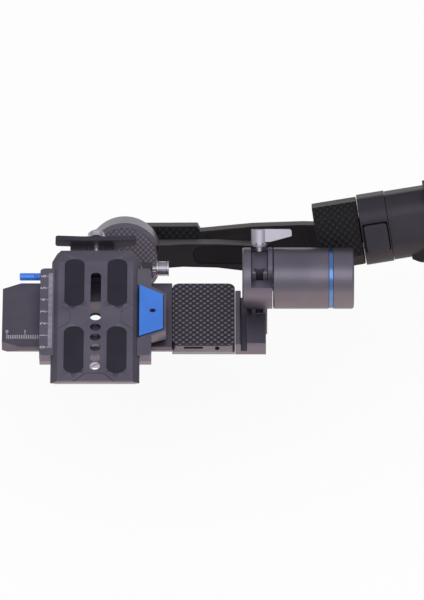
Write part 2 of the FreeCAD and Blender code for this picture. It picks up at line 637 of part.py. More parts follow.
def build_clamp_knob():
    """Knurled clamp screw across the far end of the jaws, and the pull pin of the bar lock."""
    head = knurled("X", KNOB_X, KNOB_YZ, KNOB_R, KNOB_RIDGES)
    shaft = cyl("X", (KNOB_SHAFT_IN, KNOB_X[0] + 1.0), KNOB_YZ, KNOB_SHAFT_R)
    keep("clamp_knob", head.fuse(shaft).removeSplitter())
    pin = cyl("X", PIN_X, PIN_YZ, PIN_R)
    pin = pin.makeChamfer(0.4, circles_of(pin, PIN_R, lambda c: c.x < PIN_X[0] + 0.1))
    notch_x = (-JAW_OUT - 3.6, -JAW_OUT - 3.6 + PIN_NOTCH)
    notch = box(notch_x, (PIN_YZ[0] - 3.0, PIN_YZ[0] + 3.0), (PIN_YZ[1] + 1.2, PIN_YZ[1] + 3.0))
    keep("bar_lock_pin", pin.cut(notch))


# ================================================================ cross bar and pod
def make_cross_bar():
    """Dovetail bar that the carriage rides on."""
    bar = prism("X", BAR_X, bar_section(0.0))
    for y, toward in ((BAR_Y[0], -1), (BAR_Y[1], 1)):
        corner = [(BAR_X[0] - 1.0, y + toward * 1.0), (BAR_X[0] - 1.0, y - toward * BAR_CORNER[1]),
                  (BAR_X[0], y - toward * BAR_CORNER[1]), (BAR_X[0] + BAR_CORNER[0], y),
                  (BAR_X[0] + BAR_CORNER[0], y + toward * 1.0)]
        bar = bar.cut(prism("Z", (BAR_TOP - BAR_THICK - 1.0, BAR_TOP + 1.0), corner))
    window = rounded_bar(BAR_WINDOW_X, BAR_WINDOW_Y, (BAR_TOP - BAR_THICK - 1.0, BAR_TOP + 1.0), 3.0)
    return bar.cut(window)


def pod_block(shrink, top):
    """Solid form of the pod, its lower front set back; shrunk for the hollow inside."""
    section = [(POD_Y[0] + shrink, top), (POD_Y[0] + shrink, POD_FRONT_FOOT),
               (POD_Y[0] + POD_SETBACK + shrink, POD_FOOT + shrink),
               (POD_Y[1] - shrink, POD_FOOT + shrink), (POD_Y[1] - shrink, top)]
    solid = prism("X", (POD_X[0] + shrink, POD_X[1] - shrink), section)
    return solid.makeFillet(POD_CORNER - shrink, edges_along(solid, "Z"))


def build_pod():
    """Electronics pod at the bar's end: tray, lid, board and two sockets."""
    seam = BAR_TOP - LID_THICK
    tray = pod_block(0.0, seam).cut(pod_block(POD_WALL, seam + 1.0))
    port = box(PORT_X, (POD_Y[0] - 1.0, POD_Y[0] + PORT_DEPTH), PORT_Z)
    port = port.makeFillet(0.6, edges_along(port, "Y"))
    jack = cyl("Y", (POD_Y[0] - 1.0, POD_Y[0] + PORT_DEPTH), (JACK_X, JACK_Z), JACK_R)
    keep("pod_tray", tray.cut(port).cut(jack))
    lid = rounded_bar(POD_X, POD_Y, (seam, BAR_TOP), POD_CORNER)
    top_edges = [e for e in lid.Edges if abs(e.CenterOfMass.z - BAR_TOP) < 0.01]
    keep("pod_lid", lid.makeFillet(0.7, top_edges))
    inner_x = (POD_X[0] + POD_WALL + 0.3, POD_X[1] - POD_WALL - 0.3)
    board_z = (POD_FOOT + POD_WALL + BOARD_LIFT, POD_FOOT + POD_WALL + BOARD_LIFT + BOARD_THICK)
    board_y = (POD_Y[0] + POD_SETBACK + POD_WALL + 2.0, POD_Y[1] - POD_WALL - 0.3)
    board = rounded_bar(inner_x, board_y, board_z, POD_CORNER - POD_WALL + 0.5)
    legs = [cyl("Z", (POD_FOOT + POD_WALL, board_z[0]), (x, y), 2.0)
            for x in (inner_x[0] + 4.0, inner_x[1] - 4.0) for y in (board_y[0] + 4.0, board_y[1] - 4.0)]
    keep("pod_board", board.fuse(legs).removeSplitter())
    wall_in = POD_Y[0] + POD_WALL
    shell = box((PORT_X[0] - 0.6, PORT_X[1] + 0.6), (wall_in, wall_in + PORT_DEPTH),
                (PORT_Z[0] - 0.6, PORT_Z[1] + 0.5))
    mouth = box((PORT_X[0] + 0.1, PORT_X[1] - 0.1), (wall_in - 1.0, wall_in + PORT_DEPTH - 1.0),
                (PORT_Z[0] + 0.1, PORT_Z[1] - 0.1))
    barrel = ring("Y", (wall_in, wall_in + PORT_DEPTH), (JACK_X, JACK_Z), JACK_R + 0.35, JACK_R)
    keep("pod_sockets", Part.makeCompound([shell.cut(mouth), barrel]))


def build_post():
    """Foot beside the pod and the upright dovetail post."""
    rib = box((FOOT_X[0], FOOT_RIB_X), FOOT_Y, (FOOT_FLOOR - 1.0, BAR_TOP))
    rib = rib.makeFillet(0.8, edges_along(rib, "Y", lambda c: c.z > BAR_TOP - 0.1))
    web = box((FOOT_X[0], FOOT_X[1]), FOOT_Y, (POD_FRONT_FOOT - 2.5, FOOT_FLOOR))
    keel_section = [(FOOT_Y[0], POD_FRONT_FOOT), (FOOT_Y[0] + POD_SETBACK, POD_FOOT), (FOOT_Y[1], POD_FOOT),
                    (FOOT_Y[1], POD_FRONT_FOOT)]
    keel = prism("X", FOOT_X, keel_section)
    block = box((FOOT_BLOCK_X, FOOT_X[1]), FOOT_Y, (FOOT_FLOOR - 1.0, BAR_TOP))
    block = block.makeFillet(1.2, edges_along(block, "X", lambda c: c.z > BAR_TOP - 0.1 and c.y < 0))
    foot = rib.fuse([web, keel, block]).removeSplitter()
    post = box(POST_X, POST_Y, (POD_FOOT, POST_TOP))
    post = post.makeFillet(0.8, edges_along(post, "X", lambda c: c.z > POST_TOP - 0.1))
    middle = (POST_X[0] + POST_X[1]) / 2
    flute = [(middle - GROOVE_HALF, POST_Y[0] - 1.0), (middle - GROOVE_HALF, POST_Y[0]),
             (middle - GROOVE_HALF - GROOVE_FLARE, POST_Y[0] + GROOVE_DEPTH),
             (middle + GROOVE_HALF + GROOVE_FLARE, POST_Y[0] + GROOVE_DEPTH),
             (middle + GROOVE_HALF, POST_Y[0]), (middle + GROOVE_HALF, POST_Y[0] - 1.0)]
    post = post.cut(prism("Z", (BAR_TOP + 0.5, POST_TOP + 1.0), flute))
    socket = box((POST_X[0], POST_X[1]), POST_Y, (POD_FOOT - 1.0, BAR_TOP + 1.0))
    screws = [cyl("X", (FOOT_X[0] + 2.0, POST_X[0] + 5.0), (y, (POD_FOOT + FOOT_FLOOR) / 2), FOOT_SCREW_R)
              for y in (POST_Y[0] + 4.0, POST_Y[1] - 4.0)]
    group = Part.makeCompound(screws)
    keep("post_foot", foot.cut(socket).cut(group))
    keep("height_post", post.cut(group))
    keep("post_screws", group)


# ================================================================ motor core
def motor_core(bore):
    """Rotor, stator and bearings of one motor, along X from the rotor's mounting face.

    bore is the radius of the casing that the rotor turns in.
    """
    skirt_out = bore - AIR_GAP
    skirt_in = skirt_out - SKIRT_WALL
    centre = (0.0, 0.0)
    rotor = cyl("X", (0.0, SHAFT_LEN), centre, SHAFT_R)
    disc = cyl("X", (0.0, DISC_THICK), centre, skirt_out)
    skirt = ring("X", (DISC_THICK - 0.1, SKIRT_LEN), centre, skirt_out, skirt_in)
    rotor = rotor.fuse([disc, skirt]).removeSplitter()
    stator_out = skirt_in - AIR_GAP
    stator_x = (BOSS_START + 1.0, SKIRT_LEN - 0.5)
    stator = ring("X", stator_x, centre, stator_out, BOSS_R)
    pole_depth = (stator_out - BOSS_R) * 0.6
    for i in range(POLE_COUNT):
        slot_y = (stator_out - pole_depth, stator_out + 1.0)
        slot = box((stator_x[0] - 1.0, stator_x[1] + 1.0), slot_y, (-0.5, 0.5))
        slot.rotate(V(0, 0, 0), V(1, 0, 0), 360.0 * i / POLE_COUNT)
        stator = stator.cut(slot)
    low = (BOSS_START + 0.2, BOSS_START + 0.2 + BEARING_W)
    high = (SHAFT_LEN - BEARING_W, SHAFT_LEN)
    bearings = [ring("X", span, centre, BEARING_R, SHAFT_R + RUN_GAP) for span in (low, high)]
    return rotor, stator, Part.makeCompound(bearings)


def boss_tube(end):
    """Bearing tube of a stator, from inside the rotor to a base at x = end."""
    return ring("X", (BOSS_START, end), (0.0, 0.0), BOSS_R, BEARING_R)


def turned(shape, start, axis, centre):
    """Carry a motor part from X at the origin to X or Y with its mounting face at start."""
    placed = shape.copy()
    if axis == "Y":
        placed.rotate(V(0, 0, 0), V(0, 0, 1), 90.0)
        placed.translate(V(centre[0], start, centre[1]))
    else:
        placed.translate(V(start, centre[0], centre[1]))
    return placed


# ================================================================ tilt unit
TILT_CENTRE = (AXIS_Y, AXIS_Z)
TILT_FACE = TILT_X[0] + CASE_WALL + 1.0


def build_tilt_bracket():
    """Bracket on the tilt axis that holds the post, with the motor's rotor."""
    bracket = cyl("X", BRACKET_X, TILT_CENTRE, MOTOR_R)
    bracket = bracket.makeChamfer(0.6, circles_of(bracket, MOTOR_R, lambda c: c.x < BRACKET_X[0] + 0.1))
    pocket_x = (POST_X[0] - SLIDE_GAP, POST_X[1] + SLIDE_GAP)
    pocket_y = (POST_Y[0] - SLIDE_GAP, POST_Y[1] + SLIDE_GAP)
    tall = (AXIS_Z - MOTOR_R - 1.0, AXIS_Z + MOTOR_R + 1.0)
    bracket = bracket.cut(box(pocket_x, pocket_y, tall))
    step_y = (AXIS_Y - MOTOR_R - 1.0, pocket_y[0] + 0.01)
    bracket = bracket.cut(box((pocket_x[0], BRACKET_X[1] + 1.0), step_y, (BRACKET_STEP_Z, tall[1])))
    up = V(0, math.cos(math.radians(LEVER_ANGLE)), math.sin(math.radians(LEVER_ANGLE)))
    foot = V(LEVER_X, AXIS_Y, AXIS_Z) + up * (MOTOR_R - 6.0)
    bore = Part.makeCylinder(LEVER_SCREW_R + RUN_GAP, 12.0, foot, up)
    spot = Part.makeCylinder(LEVER_HUB_R + 0.4, 6.0, V(LEVER_X, AXIS_Y, AXIS_Z) + up * (LEVER_BASE - 1.2), up)
    keep("tilt_bracket", bracket.cut(bore).cut(spot))
    rotor, stator, bearings = motor_core(MOTOR_R - CASE_WALL)
    collar = cyl("X", (BRACKET_X[1], TILT_FACE), TILT_CENTRE, BOSS_R)
    keep("tilt_rotor", turned(rotor, TILT_FACE, "X", TILT_CENTRE).fuse(collar).removeSplitter())
    keep("tilt_stator", turned(stator, TILT_FACE, "X", TILT_CENTRE))
    keep("tilt_bearings", turned(bearings, TILT_FACE, "X", TILT_CENTRE))


def build_tilt_motor():
    """Casing, blue light ring and end cap of the tilt motor."""
    case = cyl("X", TILT_X, TILT_CENTRE, MOTOR_R)
    case = case.makeChamfer(0.5, circles_of(case, MOTOR_R, lambda c: c.x < TILT_X[0] + 0.1))
    hollow = cyl("X", (TILT_X[0] + CASE_WALL, TILT_X[1] + 1.0), TILT_CENTRE, MOTOR_R - CASE_WALL)
    neck = cyl("X", (TILT_X[0] - 1.0, TILT_X[0] + CASE_WALL + 1.0), TILT_CENTRE, BOSS_R + AIR_GAP)
    keep("tilt_motor_case", case.cut(hollow).cut(neck))
    keep("tilt_light_ring", ring("X", RING_X, TILT_CENTRE, MOTOR_R - RING_SINK, MOTOR_R - CASE_WALL))
    cap = cyl("X", CAP_X, TILT_CENTRE, MOTOR_R)
    cap = cap.makeFillet(CAP_ROUND, circles_of(cap, MOTOR_R, lambda c: c.x > CAP_X[1] - 0.1))
    spigot = cyl("X", (RING_X[0] - 3.0, CAP_X[0] + 1.0), TILT_CENTRE, MOTOR_R - CASE_WALL)
    tube = turned(boss_tube(RING_X[0] - TILT_FACE), TILT_FACE, "X", TILT_CENTRE)
    hollow = cyl("X", (RING_X[0] - 4.0, CAP_X[1] - CASE_WALL), TILT_CENTRE, BEARING_R)
    cap = cap.fuse([spigot, tube]).removeSplitter().cut(hollow)
    keep("tilt_end_cap", cap)


def build_lever():
    """Quick-release lever that clamps the post; built upright, then leant onto the bracket."""
    hub = cyl("Z", (LEVER_BASE + 0.9, LEVER_TOP), (LEVER_X, 0.0), LEVER_HUB_R)
    hub = hub.makeChamfer(0.5, circles_of(hub, LEVER_HUB_R, lambda c: c.z > LEVER_TOP - 0.1))
    collar = cyl("Z", (LEVER_BASE, LEVER_BASE + 1.0), (LEVER_X, 0.0), LEVER_HUB_R - 0.8)
    side = [(LEVER_X, LEVER_ROOT_FOOT), (LEVER_X + 6.0, LEVER_ROOT_FOOT), (LEVER_TIP_X, LEVER_TIP_FOOT),
            (LEVER_TIP_X, LEVER_TOP - 1.0), (LEVER_TIP_X - 1.0, LEVER_TOP), (LEVER_X, LEVER_TOP)]
    blade = prism("Y", (-LEVER_HALF_ROOT, LEVER_HALF_ROOT), side)
    plan = [(LEVER_X, -LEVER_HALF_ROOT), (LEVER_TIP_X, -LEVER_HALF_TIP),
            (LEVER_TIP_X, LEVER_HALF_TIP), (LEVER_X, LEVER_HALF_ROOT)]
    blade = blade.common(prism("Z", (LEVER_BASE, LEVER_TOP + 1.0), plan))
    screw = cyl("Z", (MOTOR_R - 2.2, LEVER_BASE + 1.0), (LEVER_X, 0.0), LEVER_SCREW_R)
    lever = hub.fuse([collar, blade, screw]).removeSplitter()
    for i in range(LEVER_TEETH):
        tooth = box((LEVER_X + LEVER_HUB_R - 1.4, LEVER_X + LEVER_HUB_R + 1.0), (-0.5, 0.5),
                    (LEVER_BASE, LEVER_BASE + 2.0))
        tooth.rotate(V(LEVER_X, 0, 0), V(0, 0, 1), 360.0 * (i + 0.5) / LEVER_TEETH)
        lever = lever.cut(tooth)
    lever.rotate(V(0, 0, 0), V(1, 0, 0), LEVER_ANGLE - 90.0)
    lever.translate(V(0, AXIS_Y, AXIS_Z))
    keep("height_lock_lever", lever)


# ================================================================ roll unit
def build_roll_motor():
    """Roll motor casing with its textured front cover, in the roll frame."""
    centre = (0.0, 0.0)
    case = cyl("Y", ROLL_Y, centre, ROLL_R)
    case = case.makeChamfer(ROLL_CHAMFER, circles_of(case, ROLL_R, lambda c: c.y < ROLL_Y[0] + 0.1))
    flat_y = (ROLL_Y[0] - 1.0, ARM_Y[0])
    case = case.cut(box((ROLL_FLAT_X, ROLL_R + 1.0), flat_y, (-ROLL_R, ROLL_R)))
    face = ROLL_Y[0] + CASE_WALL + ROLL_COVER_THICK
    case = case.cut(cyl("Y", (face, ROLL_Y[1] + 1.0), centre, ROLL_R - CASE_WALL))
    recess = cyl("Y", (ROLL_Y[0] - 1.0, ROLL_Y[0] + ROLL_COVER_THICK), centre, ROLL_COVER_R + POCKET_GAP)
    keep("roll_motor_case", in_roll_frame(case.cut(recess)))
    cover = cyl("Y", (ROLL_Y[0] - 0.3, ROLL_Y[0] + ROLL_COVER_THICK), centre, ROLL_COVER_R)
    cover = cover.cut(box((ROLL_FLAT_X - 0.2, ROLL_R), (ROLL_Y[0] - 1.0, face), (-ROLL_R, ROLL_R)))
    keep("roll_motor_cover", in_roll_frame(cover))
    rotor, stator, bearings = motor_core(ROLL_R - CASE_WALL)
    keep("roll_rotor", in_roll_frame(turned(rotor, face, "Y", centre)))
    keep("roll_stator", in_roll_frame(turned(stator, face, "Y", centre)))
    keep("roll_bearings", in_roll_frame(turned(bearings, face, "Y", centre)))
    base_y = (ROLL_Y[1] + 0.4, ROLL_BASE_Y)
    base = cyl("Y", base_y, centre, ROLL_R - 2.0)
    tube = turned(boss_tube(base_y[0] + 1.0 - face), face, "Y", centre)
    hollow = cyl("Y", (base_y[0] - 1.0, base_y[1] - CASE_WALL), centre, BEARING_R)
    keep("roll_motor_base", in_roll_frame(base.fuse(tube).removeSplitter().cut(hollow)))


def build_roll_arm():
    """Arm from the roll motor to the tilt motor, with its inlaid panel."""
    outline = [(ROLL_FLAT_X, ARM_Y[0]), (ARM_LEG_X[0] - ARM_ELBOW / 2, ARM_Y[0]),
               (ARM_LEG_X[0], ARM_Y[0] - ARM_ELBOW / 2), (ARM_LEG_X[0], 0.0), (ARM_LEG_X[1], 0.0),
               (ARM_LEG_X[1], ARM_Y[1] - ARM_ELBOW), (ARM_LEG_X[1] - ARM_ELBOW, ARM_Y[1]),
               (ROLL_FLAT_X - 4.0, ARM_Y[1]), (ROLL_FLAT_X - 4.0, ARM_Y[0])]
    elevation = [(ROLL_FLAT_X - 5.0, ARM_TOP[0][1])] + list(ARM_TOP) + list(ARM_FOOT) \
        + [(ROLL_FLAT_X - 5.0, ARM_FOOT[-1][1])]
    reach = (-1.0, ARM_Y[1] + 1.0)
    lowest = min(z for _, z in elevation)
    highest = max(z for _, z in elevation)
    arm = prism("Z", (lowest - 1.0, highest + 1.0), outline).common(prism("Y", reach, elevation))
    root = prism("Z", (ARM_FOOT[-1][1], ARM_TOP[0][1]),
                 [(ROLL_FLAT_X, ROLL_Y[0] + 0.4), (ROLL_FLAT_X + 5.0, ROLL_Y[0] + 0.8),
                  (ROLL_FLAT_X + 16.0, ARM_Y[0] + 0.1), (ROLL_FLAT_X, ARM_Y[0] + 0.1)])
    arm = arm.fuse(root).removeSplitter()
    arm = arm.cut(cyl("Y", (ARM_Y[0], ROLL_Y[1]), (0.0, 0.0), ROLL_R))
    arm = arm.cut(cyl("X", (ARM_LEG_X[0] - 1.0, ARM_LEG_X[1] + 1.0), (0.0, 0.0), MOTOR_R))
    pocket_y = (ARM_Y[0] - 1.0, ARM_Y[0] + INLAY_DEPTH)
    low = INLAY_X[0] + INLAY_HALF
    high = INLAY_X[1] - INLAY_HALF

    def capsule(half, y):
        """Stadium lying along x, cut or filled on the arm's front."""
        middle = box((low, high), y, (INLAY_Z - half, INLAY_Z + half))
        ends = [cyl("Y", y, (x, INLAY_Z), half) for x in (low, high)]
        return middle.fuse(ends).removeSplitter()

    arm = arm.cut(capsule(INLAY_HALF + POCKET_GAP, pocket_y))
    keep("roll_arm", in_roll_frame(arm))
    inlay = capsule(INLAY_HALF, (ARM_Y[0] + INLAY_DEPTH * 0.5, ARM_Y[0] + INLAY_DEPTH))
    keep("roll_arm_inlay", in_roll_frame(inlay))


# ================================================================ pan unit
def build_pan_arm():
    """Arm from the roll motor's base to the pan motor, with a textured cover."""
    outline = [(PAN_ARM_X[0], PAN_ARM_Y[0]), (PAN_LEG_X[0] - 3.0, PAN_ARM_Y[0]),
               (PAN_LEG_X[0], PAN_ARM_Y[0] - 3.0), (PAN_LEG_X[0], PAN_ARM_Y[0] - PAN_ELBOW),
               (PAN_LEG_X[1], PAN_ARM_Y[0] - PAN_ELBOW), (PAN_LEG_X[1], PAN_ARM_Y[1] - PAN_ELBOW),
               (PAN_LEG_X[1] - PAN_ELBOW, PAN_ARM_Y[1]), (PAN_ARM_X[0] + 8.0, PAN_ARM_Y[1]),
               (PAN_ARM_X[0], PAN_ARM_Y[1] - 6.0)]
    elevation = list(PAN_TOP) + list(PAN_FOOT)
    lowest = min(z for _, z in elevation)
    highest = max(z for _, z in elevation)
    plan = prism("Z", (lowest - 1.0, highest + 1.0), outline)
    lateral = plan.common(prism("Y", (0.0, PAN_ARM_Y[1] + 1.0), elevation))
    inner = PAN_OFFSET + PAN_HALF_B
    side = [(PAN_ARM_Y[0] - PAN_ELBOW + 6.0, PAN_TOP[-1][1]), (inner + 8.0, 26.0), (inner, 27.5),
            (inner, 9.0), (inner + 8.0, 7.0), (PAN_ARM_Y[0] - PAN_ELBOW + 6.0, PAN_FOOT[0][1] - 0.9)]
    leg = prism("X", PAN_LEG_X, side)
    arm = lateral.fuse(leg).removeSplitter()
    keep("pan_arm", in_roll_frame(arm))
    cover_y = (PAN_ARM_Y[0] - COVER_THICK, PAN_ARM_Y[0])
    cover = box(COVER_X, cover_y, COVER_Z)
    cover = cover.cut(cyl("Y", (cover_y[0] - 1.0, cover_y[1] + 1.0), (0.0, 0.0), ROLL_R - 2.0 + POCKET_GAP))
    keep("pan_arm_cover", in_roll_frame(cover))


def octagon(half_b, half_c, cut):
    """Chamfered rectangle in Y and Z."""
    return [(-half_b, -half_c + cut), (-half_b + cut, -half_c), (half_b - cut, -half_c),
            (half_b, -half_c + cut), (half_b, half_c - cut), (half_b - cut, half_c),
            (-half_b + cut, half_c), (-half_b, half_c - cut)]


def build_pan_motor():
    """Pan motor between the arm and the handle, in the handle frame."""
    outer = prism("X", PAN_A, octagon(PAN_HALF_B, PAN_HALF_C, PAN_CUT))
    face = PAN_A[0] + PAN_WALL
    hollow = cyl("X", (face, PAN_A[1] + 1.0), (0.0, 0.0), PAN_BORE)
    shell = outer.cut(hollow)
    front = box((0.0, PAN_A[1] + 1.0), (-PAST, PAN_COVER_B), (-PAST, PAST))
    keep("pan_motor_cover", in_handle_frame(shell.common(front)))
    keep("pan_motor_housing", in_handle_frame(shell.cut(front)))
    rotor, stator, bearings = motor_core(PAN_BORE)
    keep("pan_rotor", in_handle_frame(turned(rotor, face, "X", (0.0, 0.0))))
    keep("pan_stator", in_handle_frame(turned(stator, face, "X", (0.0, 0.0))))
    keep("pan_bearings", in_handle_frame(turned(bearings, face, "X", (0.0, 0.0))))


# ================================================================ handle
def oval(span, shrink):
    """Rounded-rectangle bar along the handle."""
    half_b = HANDLE_HALF_B - shrink
    half_c = HANDLE_HALF_C - shrink
    bar = box(span, (-half_b, half_b), (-half_c, half_c))
    return bar.makeFillet(HANDLE_ROUND - shrink, edges_along(bar, "X"))


def build_collar():
    """Collar that carries the pan stator and the square release button."""
    face = PAN_A[0] + PAN_WALL
    collar = oval(COLLAR_A, 0.0)
    tube = turned(boss_tube(COLLAR_A[0] + 1.0 - face), face, "X", (0.0, 0.0))
    hollow = cyl("X", (COLLAR_A[0] - 1.0, COLLAR_A[1] - CASE_WALL), (0.0, 0.0), BEARING_R)
    collar = collar.fuse(tube).removeSplitter().cut(hollow)
    gap = SLIDE_GAP
    deep = -HANDLE_HALF_B + RELEASE_DEEP
    pocket = box((RELEASE_A[0] - gap, RELEASE_A[1] + gap),
                 (-HANDLE_HALF_B - 1.0, deep + RELEASE_TRAVEL + gap),
                 (RELEASE_C[0] - gap, RELEASE_C[1] + gap))
    keep("handle_collar", in_handle_frame(collar.cut(pocket)))
    button = box(RELEASE_A, (-HANDLE_HALF_B - RELEASE_STAND, deep), RELEASE_C)
    button = button.makeFillet(1.6, edges_along(button, "Y"))
    rim = [e for e in button.Edges if abs(e.CenterOfMass.y + HANDLE_HALF_B + RELEASE_STAND) < 0.01]
    keep("arm_release_button", in_handle_frame(button.makeFillet(0.6, rim)))


def handle_cuts(gap):
    """Openings for the panel, trigger and dial, grown by a clearance."""
    panel_b = (HANDLE_HALF_B - PANEL_THICK - gap, HANDLE_HALF_B + 9.0)
    panel = box((PANEL_A[0] - gap, PANEL_A[1] + gap), panel_b, (-PANEL_HALF_C - gap, PANEL_HALF_C + gap))
    trigger = box((TRIGGER_A[0] - gap, TRIGGER_A[1] + gap), (-HANDLE_HALF_B - 9.0, -HANDLE_HALF_B + 6.0),
                  (-TRIGGER_HALF_C - gap, TRIGGER_HALF_C + gap))
    dial = box((DIAL_A - DIAL_R - 1.0, DIAL_A + DIAL_R + 1.0), (HANDLE_HALF_B - 6.0, HANDLE_HALF_B + 9.0),
               (-DIAL_HALF - gap, DIAL_HALF + gap))
    return Part.makeCompound([panel, trigger, dial])


def build_handle():
    """Shell halves, rubber grip, end cap, thread insert and cells."""
    outer = oval(SHELL_A, SHELL_SHRINK)
    hollow = oval((SHELL_A[0] + SHELL_WALL, SHELL_A[1] + 1.0), SHELL_SHRINK + SHELL_WALL)
    openings = handle_cuts(SLIDE_GAP)
    pin_hole = cyl("Z", (-HANDLE_HALF_C, HANDLE_HALF_C), TRIGGER_PIVOT, TRIGGER_PIN_R)
    dial_hole = cyl("Z", (-DIAL_HALF - 2.0, DIAL_HALF + 2.0), (DIAL_A, HANDLE_HALF_B - 2.0), TRIGGER_PIN_R)
    shell = outer.cut(hollow).cut(openings).cut(pin_hole).cut(dial_hole)
    front = box((0.0, SHELL_A[1] + 1.0), (-PAST, 0.0), (-PAST, PAST))
    keep("handle_front_shell", in_handle_frame(shell.common(front)))
    ribs = []
    for side in (-1, 1):
        wall_z = HANDLE_HALF_C - SHELL_SHRINK - SHELL_WALL
        rib_z = sorted((side * (CELL_R + 0.02), side * (wall_z + 0.1)))
        rib_a = (SHELL_A[0] + SHELL_WALL - 0.1, CELL_END)
        ribs.append(box(rib_a, (0.0, 2.5), rib_z))
    keep("handle_back_shell", in_handle_frame(shell.cut(front).fuse(ribs).removeSplitter()))
    swell = oval(GRIP_A, -GRIP_SWELL)
    inner_b = HANDLE_HALF_B - SHELL_SHRINK
    inner_c = HANDLE_HALF_C - SHELL_SHRINK
    edge = GRIP_A[0] + GRIP_LEAD
    full_b = inner_b + GRIP_SWELL + 1.0
    full_c = inner_c + GRIP_SWELL + 1.0
    flare = [(GRIP_A[0], -TONGUE_HALF), (edge, -inner_b - 0.8), (edge + GRIP_FLARE, -full_b),
             (GRIP_A[1] + 1.0, -full_b), (GRIP_A[1] + 1.0, full_b), (edge + GRIP_FLARE, full_b),
             (edge, inner_b + 0.8), (GRIP_A[0], TONGUE_HALF)]
    flank = [(GRIP_A[0], -inner_c - 0.8), (GRIP_A[0] + GRIP_FLARE, -full_c), (GRIP_A[1] + 1.0, -full_c),
             (GRIP_A[1] + 1.0, full_c), (edge + GRIP_FLARE, full_c), (edge, inner_c + 0.8), (edge, 0.0),
             (GRIP_A[0], 0.0)]
    grip = swell.common(prism("Z", (-PAST, PAST), flare)).common(prism("Y", (-PAST, PAST), flank))
    grip = grip.cut(oval((GRIP_A[0] - 1.0, GRIP_A[1] + 1.0), SHELL_SHRINK))
    grip = grip.cut(handle_cuts(SLIDE_GAP + 1.0))
    keep("rubber_grip", in_handle_frame(grip))
    cap = oval(END_A, -GRIP_SWELL)
    rim = [e for e in cap.Edges if abs(e.CenterOfMass.x - END_A[1]) < 0.01]
    cap = cap.makeFillet(2.0, rim)
    seat = cyl("X", (END_A[1] - THREAD_LEN - 1.0, END_A[1] + 1.0), (0.0, 0.0), INSERT_R)
    keep("handle_end_cap", in_handle_frame(cap.cut(seat)))
    insert = ring("X", (END_A[1] - THREAD_LEN, END_A[1]), (0.0, 0.0), INSERT_R, THREAD_R)
    floor = cyl("X", (END_A[1] - THREAD_LEN - 1.0, END_A[1] - THREAD_LEN), (0.0, 0.0), INSERT_R)
    keep("tripod_thread_insert", in_handle_frame(insert.fuse(floor).removeSplitter()))
    cells = []
    for i in range(2):
        start = CELL_START + i * (CELL_LEN + CELL_GAP)
        cells.append(cyl("X", (start, start + CELL_LEN), (0.0, 0.0), CELL_R))
    keep("battery_cells", in_handle_frame(Part.makeCompound(cells)))


def build_controls():
    """Control panel with stick and keys, the trigger and the focus dial."""
    top = HANDLE_HALF_B + 0.6
    low = HANDLE_HALF_B - PANEL_THICK
    panel = box(PANEL_A, (low, top), (-PANEL_HALF_C, PANEL_HALF_C))
    panel = panel.cut(cyl("Y", (low + 1.0, top + 1.0), (STICK_A, 0.0), STICK_R + 0.8))
    for a, radius in ((RECORD_A, RECORD_R), (MODE_A, MODE_R)):
        panel = panel.cut(cyl("Y", (low + 1.0, top + 1.0), (a, 0.0), radius + SLIDE_GAP))
    keep("control_panel", in_handle_frame(panel))
    key_foot = low + 1.0 + KEY_TRAVEL + 0.2
    for name, a, radius in (("record_button", RECORD_A, RECORD_R), ("mode_button", MODE_A, MODE_R)):
        key = cyl("Y", (key_foot, top + KEY_STAND), (a, 0.0), radius)
        key = key.makeChamfer(0.3, circles_of(key, radius, lambda c: c.y > top))
        keep(name, in_handle_frame(key))
    stem = cyl("Y", (low + 1.3, top + 2.0), (STICK_A, 0.0), 1.6)
    head = cyl("Y", (top + 1.6, top + 4.2), (STICK_A, 0.0), STICK_R)
    head = head.makeFillet(0.9, circles_of(head, STICK_R, lambda c: True))
    keep("joystick", in_handle_frame(stem.fuse(head).removeSplitter()))
    skin = -HANDLE_HALF_B
    side = [(TRIGGER_A[0] + 0.4, skin - 1.6), (TRIGGER_A[0] + 4.0, skin - TRIGGER_STAND),
            (TRIGGER_A[1] - 0.4, skin - TRIGGER_STAND - 1.0), (TRIGGER_A[1] - 0.4, skin - 1.0),
            (TRIGGER_A[0] + 6.0, skin + 4.0), (TRIGGER_A[0] + 0.4, skin + 4.0)]
    finger = prism("Z", (-TRIGGER_HALF_C, TRIGGER_HALF_C), side)
    finger = finger.cut(cyl("Z", (-PAST, PAST), TRIGGER_PIVOT, TRIGGER_PIN_R + RUN_GAP))
    keep("trigger", in_handle_frame(finger))
    pin = cyl("Z", (-TRIGGER_HALF_C - 1.2, TRIGGER_HALF_C + 1.2), TRIGGER_PIVOT, TRIGGER_PIN_R)
    centre = (DIAL_A, HANDLE_HALF_B - 2.0)
    wheel = knurled("Z", (-DIAL_HALF, DIAL_HALF), centre, DIAL_R, 20)
    wheel = wheel.cut(cyl("Z", (-PAST, PAST), centre, TRIGGER_PIN_R + RUN_GAP))
    keep("focus_dial", in_handle_frame(wheel))
    axle = cyl("Z", (-DIAL_HALF - 1.2, DIAL_HALF + 1.2), centre, TRIGGER_PIN_R)
    keep("control_pins", in_handle_frame(Part.makeCompound([pin, axle])))


# ================================================================ build all
build_camera_plate()
build_backstop()
build_carriage()
build_release_button()
build_clamp_knob()
keep("cross_bar", make_cross_bar())
build_pod()
build_post()
build_tilt_bracket()
build_tilt_motor()
build_lever()
build_roll_motor()
build_roll_arm()
build_pan_arm()
build_pan_motor()
build_collar()
build_handle()
build_controls()

os.makedirs("parts", exist_ok=True)
for node, solid in NODES.items():
    solids = solid.Solids
    valid = all(s.isValid() for s in solids)
    print(node, len(solids), "solid(s)", "volume", round(sum(s.Volume for s in solids), 1), "valid", valid)
    solid.exportStep("parts/" + node + ".step")
print(len(NODES), "nodes")
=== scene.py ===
"""Looks of a three-axis handheld camera stabiliser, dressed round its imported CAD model."""
import json
import logging
import math
from contextlib import contextmanager
from dataclasses import dataclass, field
from enum import Enum
from typing import Callable, Iterator, Sequence

